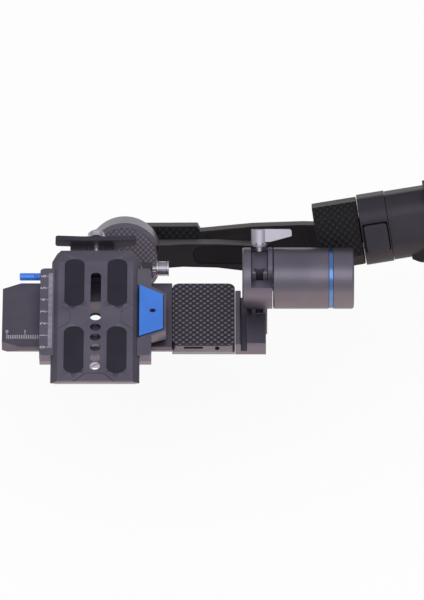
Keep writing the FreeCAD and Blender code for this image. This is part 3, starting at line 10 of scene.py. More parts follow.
import bmesh
import bpy
from mathutils import Matrix, Vector


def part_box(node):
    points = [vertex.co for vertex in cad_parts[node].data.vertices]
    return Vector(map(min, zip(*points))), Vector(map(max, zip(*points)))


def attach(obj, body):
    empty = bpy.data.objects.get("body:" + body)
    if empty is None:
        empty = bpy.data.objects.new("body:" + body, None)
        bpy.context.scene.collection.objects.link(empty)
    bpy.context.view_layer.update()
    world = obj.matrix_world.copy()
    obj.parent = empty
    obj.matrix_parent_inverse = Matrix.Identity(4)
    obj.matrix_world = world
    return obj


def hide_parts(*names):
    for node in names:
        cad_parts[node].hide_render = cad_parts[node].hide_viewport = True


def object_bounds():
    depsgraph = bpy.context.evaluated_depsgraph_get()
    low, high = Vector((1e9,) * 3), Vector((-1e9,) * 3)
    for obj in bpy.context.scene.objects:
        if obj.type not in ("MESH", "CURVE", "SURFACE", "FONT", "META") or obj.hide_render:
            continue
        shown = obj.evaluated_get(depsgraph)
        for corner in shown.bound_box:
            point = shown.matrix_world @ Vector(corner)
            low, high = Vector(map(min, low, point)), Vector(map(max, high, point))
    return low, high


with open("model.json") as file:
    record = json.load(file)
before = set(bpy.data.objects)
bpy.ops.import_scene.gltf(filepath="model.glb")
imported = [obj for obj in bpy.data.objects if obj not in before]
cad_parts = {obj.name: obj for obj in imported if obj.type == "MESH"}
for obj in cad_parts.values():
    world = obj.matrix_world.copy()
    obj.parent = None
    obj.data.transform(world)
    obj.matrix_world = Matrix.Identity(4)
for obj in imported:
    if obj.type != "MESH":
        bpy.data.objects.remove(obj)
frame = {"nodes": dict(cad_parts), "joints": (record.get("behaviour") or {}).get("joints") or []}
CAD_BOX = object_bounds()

MM = 0.001
log = logging.getLogger("stabiliser")

# A test of a face by its centre and normal, and one of an edge by its middle.
Test = Callable[[Vector, Vector], bool]
SpotTest = Callable[[Vector], bool]
Piece = bpy.types.Object


# ---------------------------------------------------------------- frames
@dataclass(frozen=True)
class Place:
    """A right-handed frame in the model, with its coordinates in millimetres."""

    origin: Vector
    x: Vector
    y: Vector
    z: Vector

    def at(self, x: float, y: float, z: float) -> Vector:
        """Turn local millimetres to a point of the model in metres."""
        return self.origin + (self.x * x + self.y * y + self.z * z) * MM

    def local(self, point: Vector) -> Vector:
        """Turn a point of the model in metres to local millimetres."""
        offset = (point - self.origin) / MM
        return Vector((offset.dot(self.x), offset.dot(self.y), offset.dot(self.z)))

    def matrix(self) -> Matrix:
        """Give the transform from local metres to the model."""
        turn = Matrix((self.x, self.y, self.z)).transposed().to_4x4()
        return Matrix.Translation(self.origin) @ turn

    def span(self, node: str) -> tuple[Vector, Vector]:
        """Measure a CAD node in this frame.

        Args:
            node: name of the CAD node.

        Returns:
            Its lowest and highest corner, in local millimetres.
        """
        points = [self.local(v.co) for v in frame["nodes"][node].data.vertices]
        low = Vector([min(p[i] for p in points) for i in range(3)])
        high = Vector([max(p[i] for p in points) for i in range(3)])
        return low, high


def joint(name: str) -> dict:
    """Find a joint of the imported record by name."""
    return next(j for j in frame["joints"] if j["name"] == name)


def motor_places() -> tuple[Place, Place]:
    """Work out the tilted frames from the joints.

    Returns:
        The roll frame, whose y runs along the roll axis away from the platform, and the handle
        frame, whose x runs along the pan axis.
    """
    across = Vector((1.0, 0.0, 0.0))
    away = Vector(joint("roll_turn")["axis"]).normalized()
    roll = Place(Vector(joint("tilt_turn")["pos_m"]), across, away, across.cross(away))
    along = Vector(joint("pan_turn")["axis"]).normalized()
    handle = Place(Vector(joint("pan_turn")["pos_m"]), along, away, along.cross(away))
    return roll, handle


MODEL = Place(Vector(), Vector((1, 0, 0)), Vector((0, 1, 0)), Vector((0, 0, 1)))
ROLL, HANDLE = motor_places()
ROLL_FRONT = Place(ROLL.origin, ROLL.x, ROLL.z, -ROLL.y)


# ---------------------------------------------------------------- finishes
def linear(code: str) -> tuple[float, float, float, float]:
    """Turn an sRGB hex colour to the linear values that a shader takes."""
    parts = [int(code[i:i + 2], 16) / 255 for i in (0, 2, 4)]
    values = [p / 12.92 if p <= 0.04045 else ((p + 0.055) / 1.055) ** 2.4 for p in parts]
    return values[0], values[1], values[2], 1.0


def add_node(tree: bpy.types.NodeTree, kind: str, settings: dict | None = None,
             inputs: dict | None = None) -> bpy.types.Node:
    """Add one node with its settings and links.

    Args:
        tree: node tree that takes the node.
        kind: Blender's name for the node type, after ShaderNode.
        settings: properties of the node by name.
        inputs: values or output sockets by the name or number of the input they go to.

    Returns:
        The new node.
    """
    node = tree.nodes.new("ShaderNode" + kind)
    for name, value in (settings or {}).items():
        setattr(node, name, value)
    for name, value in (inputs or {}).items():
        if isinstance(value, bpy.types.NodeSocket):
            tree.links.new(value, node.inputs[name])
        else:
            node.inputs[name].default_value = value
    return node


def mixed(tree: bpy.types.NodeTree, value: bpy.types.NodeSocket, span: Sequence[float],
          colours: Sequence, ease: str = "SMOOTHSTEP") -> bpy.types.NodeSocket:
    """Mix two colours, or sockets with colours, as a value runs over a span."""
    share = add_node(tree, "MapRange", {"interpolation_type": ease}, {
        "Value": value, "From Min": span[0], "From Max": span[1]})
    mix = add_node(tree, "Mix", {"data_type": "RGBA"}, {
        "Factor": share.outputs[0], "A": colours[0], "B": colours[1]})
    return mix.outputs["Result"]


class Surface(Enum):
    """How a surface was made, as the stretch of its grain along x, y and z."""

    BLASTED = (1.0, 1.0, 1.0)
    DRAWN_X = (0.06, 1.0, 1.0)
    DRAWN_Z = (1.0, 1.0, 0.06)


@dataclass(frozen=True)
class Finish:
    """One real finish: its colour, how it takes the light and the grain of its surface."""

    name: str
    colour: str
    drift: str
    metallic: float = 0.0
    roughness: float = 0.5
    uneven: float = 0.05
    grain: float = 0.35
    relief: float = 0.006
    cloud: float = 22.0
    surface: Surface = Surface.BLASTED
    coat: float = 0.0
    sheen: float = 0.0
    specular: float = 0.5

    def shader(self, tree: bpy.types.NodeTree) -> dict:
        """Build the base colour, roughness and normal, as links by the input they go to."""
        spot = add_node(tree, "TexCoord").outputs["Object"]
        turn = add_node(tree, "Mapping", inputs={"Vector": spot, "Scale": self.surface.value})
        fine = add_node(tree, "TexNoise",
                        inputs={"Vector": turn.outputs[0], "Scale": 1 / (self.grain * MM), "Detail": 3.0})
        slow = add_node(tree, "TexNoise",
                        inputs={"Vector": spot, "Scale": 1 / (self.cloud * MM), "Detail": 2.0})
        colours = linear(self.colour), linear(self.drift)
        speck = mixed(tree, slow.outputs["Fac"], (0.35, 0.65), colours, "LINEAR")
        rough = add_node(tree, "MapRange", inputs={
            "Value": fine.outputs["Fac"], "From Min": 0.3, "From Max": 0.7,
            "To Min": self.roughness - self.uneven, "To Max": self.roughness + self.uneven})
        bump = add_node(tree, "Bump", inputs={
            "Height": fine.outputs["Fac"], "Distance": self.relief * MM, "Strength": 1.0})
        return {"Base Color": speck, "Roughness": rough.outputs[0], "Normal": bump.outputs[0]}

    def material(self) -> bpy.types.Material:
        """Make the material once, and give the same one to every later piece."""
        made = bpy.data.materials.get(self.name)
        if made:
            return made
        made = bpy.data.materials.new(self.name)
        made.use_nodes = True
        tree = made.node_tree
        tree.nodes.clear()
        inputs = self.shader(tree)
        inputs.update({"Metallic": self.metallic, "Coat Weight": self.coat, "Sheen Weight": self.sheen,
                       "Specular IOR Level": self.specular})
        body = add_node(tree, "BsdfPrincipled", inputs=inputs)
        add_node(tree, "OutputMaterial", inputs={"Surface": body.outputs[0]})
        return made


@dataclass(frozen=True)
class WovenFinish(Finish):
    """Carbon fabric under a satin lacquer, its colour keyed to the weave's height: a painted highlight
    where a tow crosses over, painted shade in the dips.
    """

    # Colour of the painted highlight on the crossings, and the weave heights at which it starts and is
    # full.
    crown: str = "6a6470"
    crown_from: float = 0.42
    crown_full: float = 0.95

    def shader(self, tree: bpy.types.NodeTree) -> dict:
        """Colour the fabric by how high each point of the weave stands: a painted highlight on the
        crossings, and the darker base colour left in the dips as painted shade.
        """
        made = super().shader(tree)
        height = add_node(tree, "Attribute", {"attribute_name": "weave"})
        colour = mixed(tree, height.outputs["Fac"], (self.crown_from, self.crown_full),
                       (made["Base Color"], linear(self.crown)))
        return {**made, "Base Color": colour}


# Bead-blasted and anodised: a dense matt grey that turns bright where it faces a pale floor.
GREY_ANODISED = Finish("bead_blasted_grey_anodised_aluminium", "66626f", "5d5966", 0.75, 0.42)
# The same alloy in a darker dye lot, on the arms.
DARK_ANODISED = Finish("bead_blasted_dark_anodised_aluminium", "232024", "1d1a1f", 0.5, 0.52,
                       specular=0.25)
# The cross bar is extruded, so its grain runs along it.
BAR_ANODISED = Finish("extruded_grey_anodised_aluminium", "57535f", "4e4a56", 0.7, 0.44,
                      surface=Surface.DRAWN_X)
# Turned motor shells are blasted finer and shine more.
SHELL_ANODISED = Finish("fine_blasted_anodised_motor_shell", "625e69", "5a5661", 0.8, 0.38, grain=0.25)
# Dyed blue after blasting: saturated, with a satin glow.
BLUE_ANODISED = Finish("blue_anodised_aluminium", "3f7fdd", "3a78d4", 0.35, 0.4, grain=0.3)
# A polished blue band between the motor's two shells mirrors the studio.
BLUE_RING = Finish("polished_blue_anodised_ring", "5173a6", "4c6d9f", 0.9, 0.24, 0.02, relief=0.002)
# Die-cast, tumbled and left bare: pale and satin.
SATIN_METAL = Finish("tumbled_die_cast_aluminium", "9f9ca6", "94919b", 0.85, 0.44, grain=0.5, relief=0.012)
# Turned stainless steel knobs.
TURNED_STEEL = Finish("turned_stainless_steel", "aca8b0", "9e9aa2", 0.95, 0.3, grain=0.3,
                      surface=Surface.DRAWN_X)
# The camera screw and the backstop's thumb screw are polished after turning.
POLISHED_STEEL = Finish("polished_stainless_steel", "cfccd4", "c4c1c9", 0.9, 0.26, 0.03, grain=0.3)
# The backstop is dyed darker than the plate it slides on.
BACKSTOP_ANODISED = Finish("bead_blasted_charcoal_anodised_aluminium", "413e48", "3a3741", 0.7, 0.46)
# Blackened screws with a trace of oil.
BLACK_STEEL = Finish("black_oxide_steel", "35343a", "2b2a2f", 0.8, 0.38, grain=0.3)
# Grip pads: matt, finely pebbled rubber.
PAD_RUBBER = Finish("pebbled_pad_rubber", "2b2a33", "26252d", 0.0, 0.8, grain=0.45, relief=0.05,
                    specular=0.15)
# Handle grip: softer overmoulded rubber.
GRIP_RUBBER = Finish("overmoulded_grip_rubber", "1d1c20", "18171b", 0.0, 0.8, grain=0.5, relief=0.05,
                     sheen=0.05, specular=0.25)
# Glass-filled nylon with a fine spark-eroded texture.
BLACK_PLASTIC = Finish("spark_eroded_black_nylon", "1d1c20", "222126", 0.0, 0.5, grain=0.4, relief=0.02)
# The record key is dyed through.
RECORD_KEY = Finish("moulded_red_key_cap", "7d1f22", "74191c", 0.0, 0.45, grain=0.4, relief=0.01)
# Soft-touch paint over glass-filled nylon.
HANDLE_PLASTIC = Finish("soft_painted_graphite_nylon", "2f2c34", "29262e", 0.35, 0.48, grain=0.4,
                        relief=0.012, specular=0.3)
# Arm inlay: gloss-free dark moulding.
INLAY_PLASTIC = Finish("matt_black_moulded_inlay", "0e0c11", "0b090d", 0.0, 0.62, grain=0.4, relief=0.015,
                       specular=0.15)
# Laser-marked scale: the dye is burnt off to pale oxide.
SCALE_MARK = Finish("laser_marked_pale_oxide", "b9b4bf", "a6a1ac", 0.1, 0.6, grain=0.2)
# Carbon fabric of the pod lid, with a painted highlight on the crossings of its weave and painted shade in
# the dips.
CARBON = WovenFinish("carbon_fabric_under_satin_lacquer", "211e27", "1b1920", 0.25, 0.42, grain=0.3,
                     coat=0.08, specular=0.3)
# The motor's round cover has the same fabric, filled nearly flush, so it shows less contrast; its painted
# highlight on the crossings is weaker and spreads further.
PALE_CARBON = WovenFinish("carbon_fabric_filled_flush", "45414d", "3d3945", 0.35, 0.42, grain=0.3,
                          crown="696571", crown_from=0.3)
# Carbon fabric of the pan arm and pan motor, with a faint painted highlight on the crossings.
DARK_CARBON = WovenFinish("carbon_fabric_in_black_lacquer", "0a090c", "08070a", 0.15, 0.48, grain=0.3,
                          crown="242127", specular=0.2)
MOTOR_STEEL = Finish("laminated_motor_steel", "8d8e92", "7f8085", 0.9, 0.4)
COPPER = Finish("enamelled_copper_wire", "b5652f", "9c5426", 0.9, 0.3, surface=Surface.DRAWN_Z)
BEARING_STEEL = Finish("ground_bearing_steel", "c4c6ca", "b8babf", 0.95, 0.2)
BOARD_MASK = Finish("green_solder_mask", "1f5a3a", "1a4f32", 0.0, 0.35)
SOCKET_STEEL = Finish("nickel_plated_socket_shell", "77777c", "6c6c72", 0.9, 0.32)
BRASS = Finish("turned_brass", "b9954a", "a98643", 0.95, 0.3)
CELL_WRAP = Finish("shrink_wrapped_cell", "2f5aa8", "284f96", 0.0, 0.35)


# ---------------------------------------------------------------- bench
class Bench:
    """Modelling moves that the sub-assemblies share."""

    @staticmethod
    def take(*objects: Piece) -> None:
        """Select these objects alone, the last one active."""
        bpy.ops.object.select_all(action="DESELECT")
        for obj in objects:
            obj.select_set(True)
        bpy.context.view_layer.objects.active = objects[-1]

    @staticmethod
    @contextmanager
    def editing(obj: Piece, mode: str = "FACE") -> Iterator[None]:
        """Work on one object in edit mode with nothing selected.

        Args:
            obj: the mesh object to edit.
            mode: what is selected, VERT, EDGE or FACE.
        """
        Bench.take(obj)
        bpy.ops.object.mode_set(mode="EDIT")
        bpy.ops.mesh.select_mode(type=mode)
        bpy.ops.mesh.select_all(action="DESELECT")
        yield
        bpy.ops.object.mode_set(mode="OBJECT")

    @staticmethod
    def pick_faces(obj: Piece, test: Test) -> int:
        """Select the faces whose centre and normal pass a test, and count them."""
        mesh = bmesh.from_edit_mesh(obj.data)
        for face in mesh.faces:
            face.select_set(test(face.calc_center_median(), face.normal))
        bmesh.update_edit_mesh(obj.data)
        return sum(face.select for face in mesh.faces)

    @staticmethod
    def pick_edges(obj: Piece, sharp: float, test: SpotTest) -> int:
        """Select edges that turn by more than an angle and whose middle passes a test.

        Args:
            obj: the object in edit mode.
            sharp: least turn between the two faces, in degrees.
            test: takes the middle of an edge in metres.

        Returns:
            How many edges are selected.
        """
        mesh = bmesh.from_edit_mesh(obj.data)
        count = 0
        for edge in mesh.edges:
            turned = len(edge.link_faces) == 2 and edge.calc_face_angle(0.0) > math.radians(sharp)
            chosen = turned and test((edge.verts[0].co + edge.verts[1].co) / 2)
            edge.select_set(chosen)
            count += chosen
        bmesh.update_edit_mesh(obj.data)
        return count

    @staticmethod
    def solid(kind: str, name: str, **settings: object) -> Piece:
        """Add a mesh primitive by its operator's name and give the new object a name."""
        bpy.ops.object.select_all(action="DESELECT")
        getattr(bpy.ops.mesh, f"primitive_{kind}_add")(**settings)
        made = bpy.context.object
        made.name = made.data.name = name
        return made

    @staticmethod
    def settle(obj: Piece, place: Place = MODEL) -> Piece:
        """Move a piece modelled in a local frame into the model, with its place in its mesh."""
        obj.matrix_world = place.matrix() @ obj.matrix_world
        Bench.take(obj)
        bpy.ops.object.transform_apply(location=True, rotation=True, scale=True)
        return obj

    @staticmethod
    def cad_copy(node: str, name: str, flats: bool = True) -> Piece:
        """Copy a CAD node's mesh into a new object, its loose triangles joined.

        Args:
            node: name of the CAD node.
            name: name of the new object.
            flats: whether the triangles of each flat face are joined to one face, which a face
                with holes in it doesn't take.

        Returns:
            The new object.
        """
        made = bpy.data.objects.new(name, frame["nodes"][node].data.copy())
        made.data.materials.clear()
        bpy.context.scene.collection.objects.link(made)
        with Bench.editing(made, "VERT"):
            bpy.ops.mesh.select_all(action="SELECT")
            bpy.ops.mesh.remove_doubles(threshold=1e-6)
            if flats:
                bpy.ops.mesh.dissolve_limited(angle_limit=math.radians(0.6))
        return made

    @staticmethod
    def round_edges(obj: Piece, width: float, segments: int = 2, sharp: float = 25.0,
                    test: SpotTest = lambda middle: True) -> None:
        """Bevel the sharp edges of a piece that pass a test, by a width in millimetres."""
        with Bench.editing(obj, "EDGE"):
            if Bench.pick_edges(obj, sharp, test):
                bpy.ops.mesh.bevel(offset=width * MM, segments=segments, affect="EDGES",
                                   clamp_overlap=True, miter_outer="ARC")

    @staticmethod
    def shade(obj: Piece, angle: float = 35.0) -> None:
        """Shade a piece smoothly across gentle turns, with flat faces kept flat."""
        Bench.take(obj)
        bpy.ops.object.shade_smooth_by_angle(angle=math.radians(angle))
        Bench.apply(obj, "WEIGHTED_NORMAL", keep_sharp=True, weight=80)

    @staticmethod
    def apply(obj: Piece, kind: str, **settings: object) -> None:
        """Add a modifier with its settings and apply it at once."""
        modifier = obj.modifiers.new(kind.title(), kind)
        for name, value in settings.items():
            setattr(modifier, name, value)
        Bench.take(obj)
        bpy.ops.object.modifier_apply(modifier=modifier.name)

    @staticmethod
    def join(name: str, parts: Sequence[Piece]) -> Piece:
        """Join meshes into one object."""
        Bench.take(*parts)
        bpy.ops.object.join()
        made = bpy.context.object
        made.name = made.data.name = name
        return made

    @staticmethod
    def copy(obj: Piece, shift: Vector) -> Piece:
        """Copy an object with its own mesh, moved by metres."""
        made = bpy.data.objects.new(obj.name, obj.data.copy())
        made.matrix_world = Matrix.Translation(shift) @ obj.matrix_world
        bpy.context.scene.collection.objects.link(made)
        return made

    @staticmethod
    def file(obj: Piece, finish: Finish, body: str, slot: str, *nodes: str) -> None:
        """Give a finished piece its material and its body, and hide the CAD nodes it stands for.

        Args:
            obj: the finished piece.
            finish: what it is made of.
            body: the CAD body that it rides on.
            slot: the record's material slot; not used.
            nodes: CAD nodes that it replaces.
        """
        obj.data.materials.clear()
        obj.data.materials.append(finish.material())
        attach(obj, body)
        if nodes:
            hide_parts(*nodes)
        log.info("%s: %d faces on %s", obj.name, len(obj.data.polygons), body)


class Skin:
    """A grid whose points are placed by a formula, for surfaces that no primitive has."""

    def __init__(self, name: str, columns: int, rows: int) -> None:
        """Start a flat grid of columns by rows of faces, from 0 to 1 both ways."""
        self.obj = Bench.solid("grid", name, x_subdivisions=columns, y_subdivisions=rows, size=1.0,
                               location=(0.5, 0.5, 0.0))
        Bench.settle(self.obj)

    def lay(self, rule: Callable[[float, float], Vector]) -> Piece:
        """Move each point to where the rule puts its share across and along, in metres."""
        for vertex in self.obj.data.vertices:
            vertex.co = rule(vertex.co.x, vertex.co.y)
        self.obj.data.update()
        return self.obj

    def thicken(self, depth: float) -> Piece:
        """Give the sheet a thickness in millimetres behind its face."""
        Bench.apply(self.obj, "SOLIDIFY", thickness=depth * MM, offset=-1.0)
        return self.obj


# ---------------------------------------------------------------- softened CAD parts
@dataclass(frozen=True)
class Softened:
    """A CAD part with broken edges, in its real finish."""

    node: str
    finish: Finish
    body: str
    slot: str
    width: float = 0.4
    segments: int = 2
    sharp: float = 25.0
    keep: SpotTest = field(default=lambda middle: True)
    flats: bool = True

    def make(self) -> Piece:
        """Copy the CAD node, break its edges and put it in the node's place."""
        made = Bench.cad_copy(self.node, self.node + "_dressed", self.flats)
        Bench.round_edges(made, self.width, self.segments, self.sharp, self.keep)
        Bench.shade(made)
        Bench.file(made, self.finish, self.body, self.slot, self.node)
        return made


# ---------------------------------------------------------------- carbon covers
@dataclass(frozen=True)
class Weave:
    """The relief of the carbon fabric: tows cross in a quincunx and stand up where they cross over."""

    across: float = 3.9
    along: float = 4.1
    rise: float = 0.16
    step: float = 0.42

    def height(self, x: float, y: float) -> float:
        """Give how high the fabric stands at a point in millimetres, from 0 to 1."""
        wave = math.cos(2 * math.pi * x / self.across) * math.cos(2 * math.pi * y / self.along)
        return 0.5 + 0.5 * wave

    def mark(self, obj: Piece, flat: Callable[[Vector], tuple[float, float] | None]) -> None:
        """Write the height of the weave on each point, for the finish to read.

        Args:
            obj: the piece with the fabric.
            flat: turns a point in metres to its place on the unrolled fabric, or None off it.
        """
        layer = obj.data.attributes.new("weave", "FLOAT", "POINT")
        for i, vertex in enumerate(obj.data.vertices):
            spot = flat(vertex.co)
            layer.data[i].value = self.height(*spot) if spot else 0.0


@dataclass(frozen=True)
class FlatCover:
    """A flat cover faced with carbon fabric, cut to its CAD outline."""

    node: str
    place: Place
    finish: Finish
    body: str
    weave: Weave = Weave()
    margin: float = 1.0

    def make(self) -> Piece:
        """Press the fabric's relief, cut it to the node's outline and put it in the node's place."""
        low, high = self.place.span(self.node)
        wide = high.x - low.x + 2 * self.margin
        deep = high.y - low.y + 2 * self.margin
        top = high.z - self.weave.rise / 2
        skin = Skin(self.node + "_woven", round(wide / self.weave.step), round(deep / self.weave.step))

        def pressed(u: float, v: float) -> Vector:
            """Place a point of the fabric by its share of the cover's width and depth."""
            x = low.x - self.margin + u * wide
            y = low.y - self.margin + v * deep
            return Vector((x, y, top + self.weave.rise * (self.weave.height(x, y) - 0.5))) * MM

        made = skin.lay(pressed)
        with Bench.editing(made):
            bpy.ops.mesh.select_all(action="SELECT")
            drop = -(high.z - low.z + self.margin) * MM
            bpy.ops.mesh.extrude_region_move(TRANSFORM_OT_translate={"value": (0.0, 0.0, drop)})
        with Bench.editing(made, "VERT"):
            bpy.ops.mesh.select_all(action="SELECT")
            bpy.ops.mesh.normals_make_consistent(inside=False)
        Bench.settle(made, self.place)
        cutter = Bench.cad_copy(self.node, "outline")
        for vertex in cutter.data.vertices:
            spot = self.place.local(vertex.co)
            if spot.z > low.z + 0.5 * (high.z - low.z):
                vertex.co += self.place.z * (self.weave.rise * MM)
        Bench.apply(made, "BOOLEAN", operation="INTERSECT", object=cutter, solver="EXACT")
        bpy.data.objects.remove(cutter)

        def unrolled(point: Vector) -> tuple[float, float] | None:
            """Read a point's place on the fabric, or None on the cover's sides and back."""
            spot = self.place.local(point)
            return (spot.x, spot.y) if spot.z > high.z - 1.5 * self.weave.rise else None

        self.weave.mark(made, unrolled)
        Bench.shade(made, 40.0)
        Bench.file(made, self.finish, self.body, "carbon_weave_cover", self.node)
        return made


@dataclass(frozen=True)
class WrappedCover:
    """The pan motor's cover: an eight-sided shell with carbon fabric wrapped round its outside."""

    node: str = "pan_motor_cover"
    weave: Weave = Weave()
    lift: float = 0.06
    inset: float = 0.7
    fade: float = 8.0
    depth: float = 0.3

    def outline(self, low: Vector, high: Vector) -> list[tuple[float, float]]:
        """Trace the section from one side of the split round to the other, in millimetres."""
        points = [HANDLE.local(v.co) for v in frame["nodes"][self.node].data.vertices]
        c = min(p.y for p in points if p.z < low.z + 0.01) - low.y
        return [(high.y, low.z), (low.y + c, low.z), (low.y, low.z + c), (low.y, high.z - c),
                (low.y + c, high.z), (high.y, high.z)]

    def make(self) -> None:
        """Dress the shell and lay the fabric on its faces."""
        Softened(self.node, DARK_ANODISED, "pan_assembly", "carbon_weave_cover", 0.5).make()
        low, high = HANDLE.span(self.node)
        corners = self.outline(low, high)
        runs = [math.dist(a, b) for a, b in zip(corners, corners[1:])]
        total = sum(runs)
        length = high.x - low.x - 2 * self.inset
        middle = (low.z + high.z) / 2

        def spot(share: float) -> tuple[float, float]:
            """Find the point a share of the way round the section."""
            left = share * total
            for run, a, b in zip(runs, corners, corners[1:]):
                if left <= run + 1e-9:
                    t = left / run
                    return a[0] + (b[0] - a[0]) * t, a[1] + (b[1] - a[1]) * t
                left -= run
            return corners[-1]

        def laid(u: float, v: float) -> Vector:
            """Place a point of the fabric by its share along the cover and round it."""
            y, z = spot(v)
            out = Vector((0.0, y - high.y - 3.0, z - middle)).normalized()
            edge = min(1.0, self.fade * min(u, 1 - u, v, 1 - v))
            stand = self.lift + self.weave.rise * self.weave.height(u * length, v * total) * edge
            return HANDLE.at(low.x + self.inset + u * length, y + out.y * stand, z + out.z * stand)

        columns, rows = round(length / self.weave.step), round(total / self.weave.step)
        skin = Skin("pan_cover_fabric", columns, rows)
        made = skin.lay(laid)
        layer = made.data.attributes.new("weave", "FLOAT", "POINT")
        for i, value in enumerate(layer.data):
            row, column = divmod(i, columns + 1)
            value.value = self.weave.height(column / columns * length, row / rows * total)
        with Bench.editing(made):
            bpy.ops.mesh.select_all(action="SELECT")
            bpy.ops.mesh.normals_make_consistent(inside=False)
        skin.thicken(self.depth)
        Bench.shade(made, 40.0)
        Bench.file(made, DARK_CARBON, "pan_assembly", "carbon_weave_cover")


# ---------------------------------------------------------------- turned knobs
@dataclass(frozen=True)
class Knob:
    """A turned knob: a knurled barrel between two thin flanges, on a plain shank."""

    radius: float
    length: float
    ridges: int
    bite: float = 0.28
    flange: float = 1.0
    neck: float = 0.25

    def barrel(self, place: Place) -> Piece:
        """Turn the knob's head, which runs from z = 0 up to its length in the place's frame."""
        middle = self.length / 2
        inner = self.radius - 0.12
        grip = Bench.solid("cylinder", "barrel", vertices=self.ridges * 2, radius=inner * MM,
                           depth=(self.length - 2 * self.flange - 2 * self.neck) * MM,
                           location=(0, 0, middle * MM))
        turn = math.pi / self.ridges

        def groove(centre: Vector, normal: Vector) -> bool:
            """Pick every second side face."""
            around = round(math.atan2(centre.y, centre.x) / turn - 0.5)
            return abs(normal.z) < 0.5 and around % 2 == 0

        with Bench.editing(grip):
            Bench.pick_faces(grip, groove)
            bpy.ops.mesh.inset(thickness=0.12 * MM, depth=-self.bite * MM, use_individual=True)
        parts = [grip, self.disc(0.0, self.flange, self.radius), self.disc(
            self.length - self.flange, self.length, self.radius), self.disc(
            self.flange - 0.1, self.length - self.flange + 0.1, inner - self.bite - 0.1)]
        head = Bench.join("knob", parts)
        return Bench.settle(head, place)

    @staticmethod
    def disc(low: float, high: float, radius: float, edge: float = 0.25) -> Piece:
        """Turn a disc with broken rims between two heights, in millimetres."""
        made = Bench.solid("cylinder", "disc", vertices=64, radius=radius * MM, depth=(high - low) * MM,
                           location=(0, 0, (low + high) / 2 * MM))
        if high - low > 2.2 * edge:
            Bench.round_edges(made, edge, 2, 60.0)
        return made


def axle_place(x: float, y: float, z: float, along: Vector) -> Place:
    """Make a frame at a point in millimetres whose z runs along an axis of the model."""
    side = along.orthogonal().normalized()
    return Place(Vector((x, y, z)) * MM, side, along.cross(side), along)


# ---------------------------------------------------------------- scales
class Reading(Enum):
    """Which way a scale's digits stand, as their turn on the surface in degrees."""

    UPRIGHT = 0.0
    SIDEWAYS = 90.0


@dataclass(frozen=True)
class Scale:
    """A laser-marked centimetre scale with millimetre ticks, read from one edge of a part."""

    name: str
    body: str
    zero: Vector
    run: Vector
    tick: Vector
    reading: Reading
    length: int
    digits: int
    short: float = 2.4
    long: float = 3.7
    digit_gap: float = 2.1
    digit_size: float = 3.1
    line: float = 0.38
    proud: float = 0.03

    def bar(self, start: float, reach: float) -> Piece:
        """Mark one tick at a distance along the scale, in millimetres."""
        middle = self.zero + self.run * start + self.tick * (reach / 2)
        size = [abs(self.run[i]) * self.line + abs(self.tick[i]) * reach for i in range(2)]
        made = Bench.solid("cube", "tick", size=1.0, location=middle * MM,
                           scale=(size[0] * MM, size[1] * MM, 2 * self.proud * MM))
        return Bench.settle(made)

    def digit(self, number: int) -> Piece:
        """Mark one digit beside its centimetre tick."""
        spot = self.zero + self.run * (10.0 * number) + self.tick * (self.long + self.digit_gap)
        bpy.ops.object.select_all(action="DESELECT")
        bpy.ops.object.text_add(location=spot * MM, rotation=(0, 0, math.radians(self.reading.value)))
        text = bpy.context.object
        text.data.body = str(number)
        text.data.align_x = "CENTER"
        text.data.align_y = "CENTER"
        text.data.size = self.digit_size * 1.35 * MM
        text.data.offset = 0.06 * MM
        text.data.extrude = self.proud * MM
        Bench.take(text)
        bpy.ops.object.convert(target="MESH")
        return Bench.settle(bpy.context.object)

    def make(self) -> None:
        """Mark every tick and digit and join them into one piece."""
        marks = [self.bar(mm, self.long if mm % 10 == 0 else self.short) for mm in range(self.length + 1)]
        marks += [self.digit(n) for n in range(self.digits)]
        Bench.file(Bench.join(self.name, marks), SCALE_MARK, self.body, "anodised_aluminium")


# ---------------------------------------------------------------- sub-assemblies
# Material slots of the record that many pieces share.
ANODISED = "anodised_aluminium"
SATIN = "satin_aluminium"
NYLON = "black_plastic"
FASTENERS = "steel_fasteners"


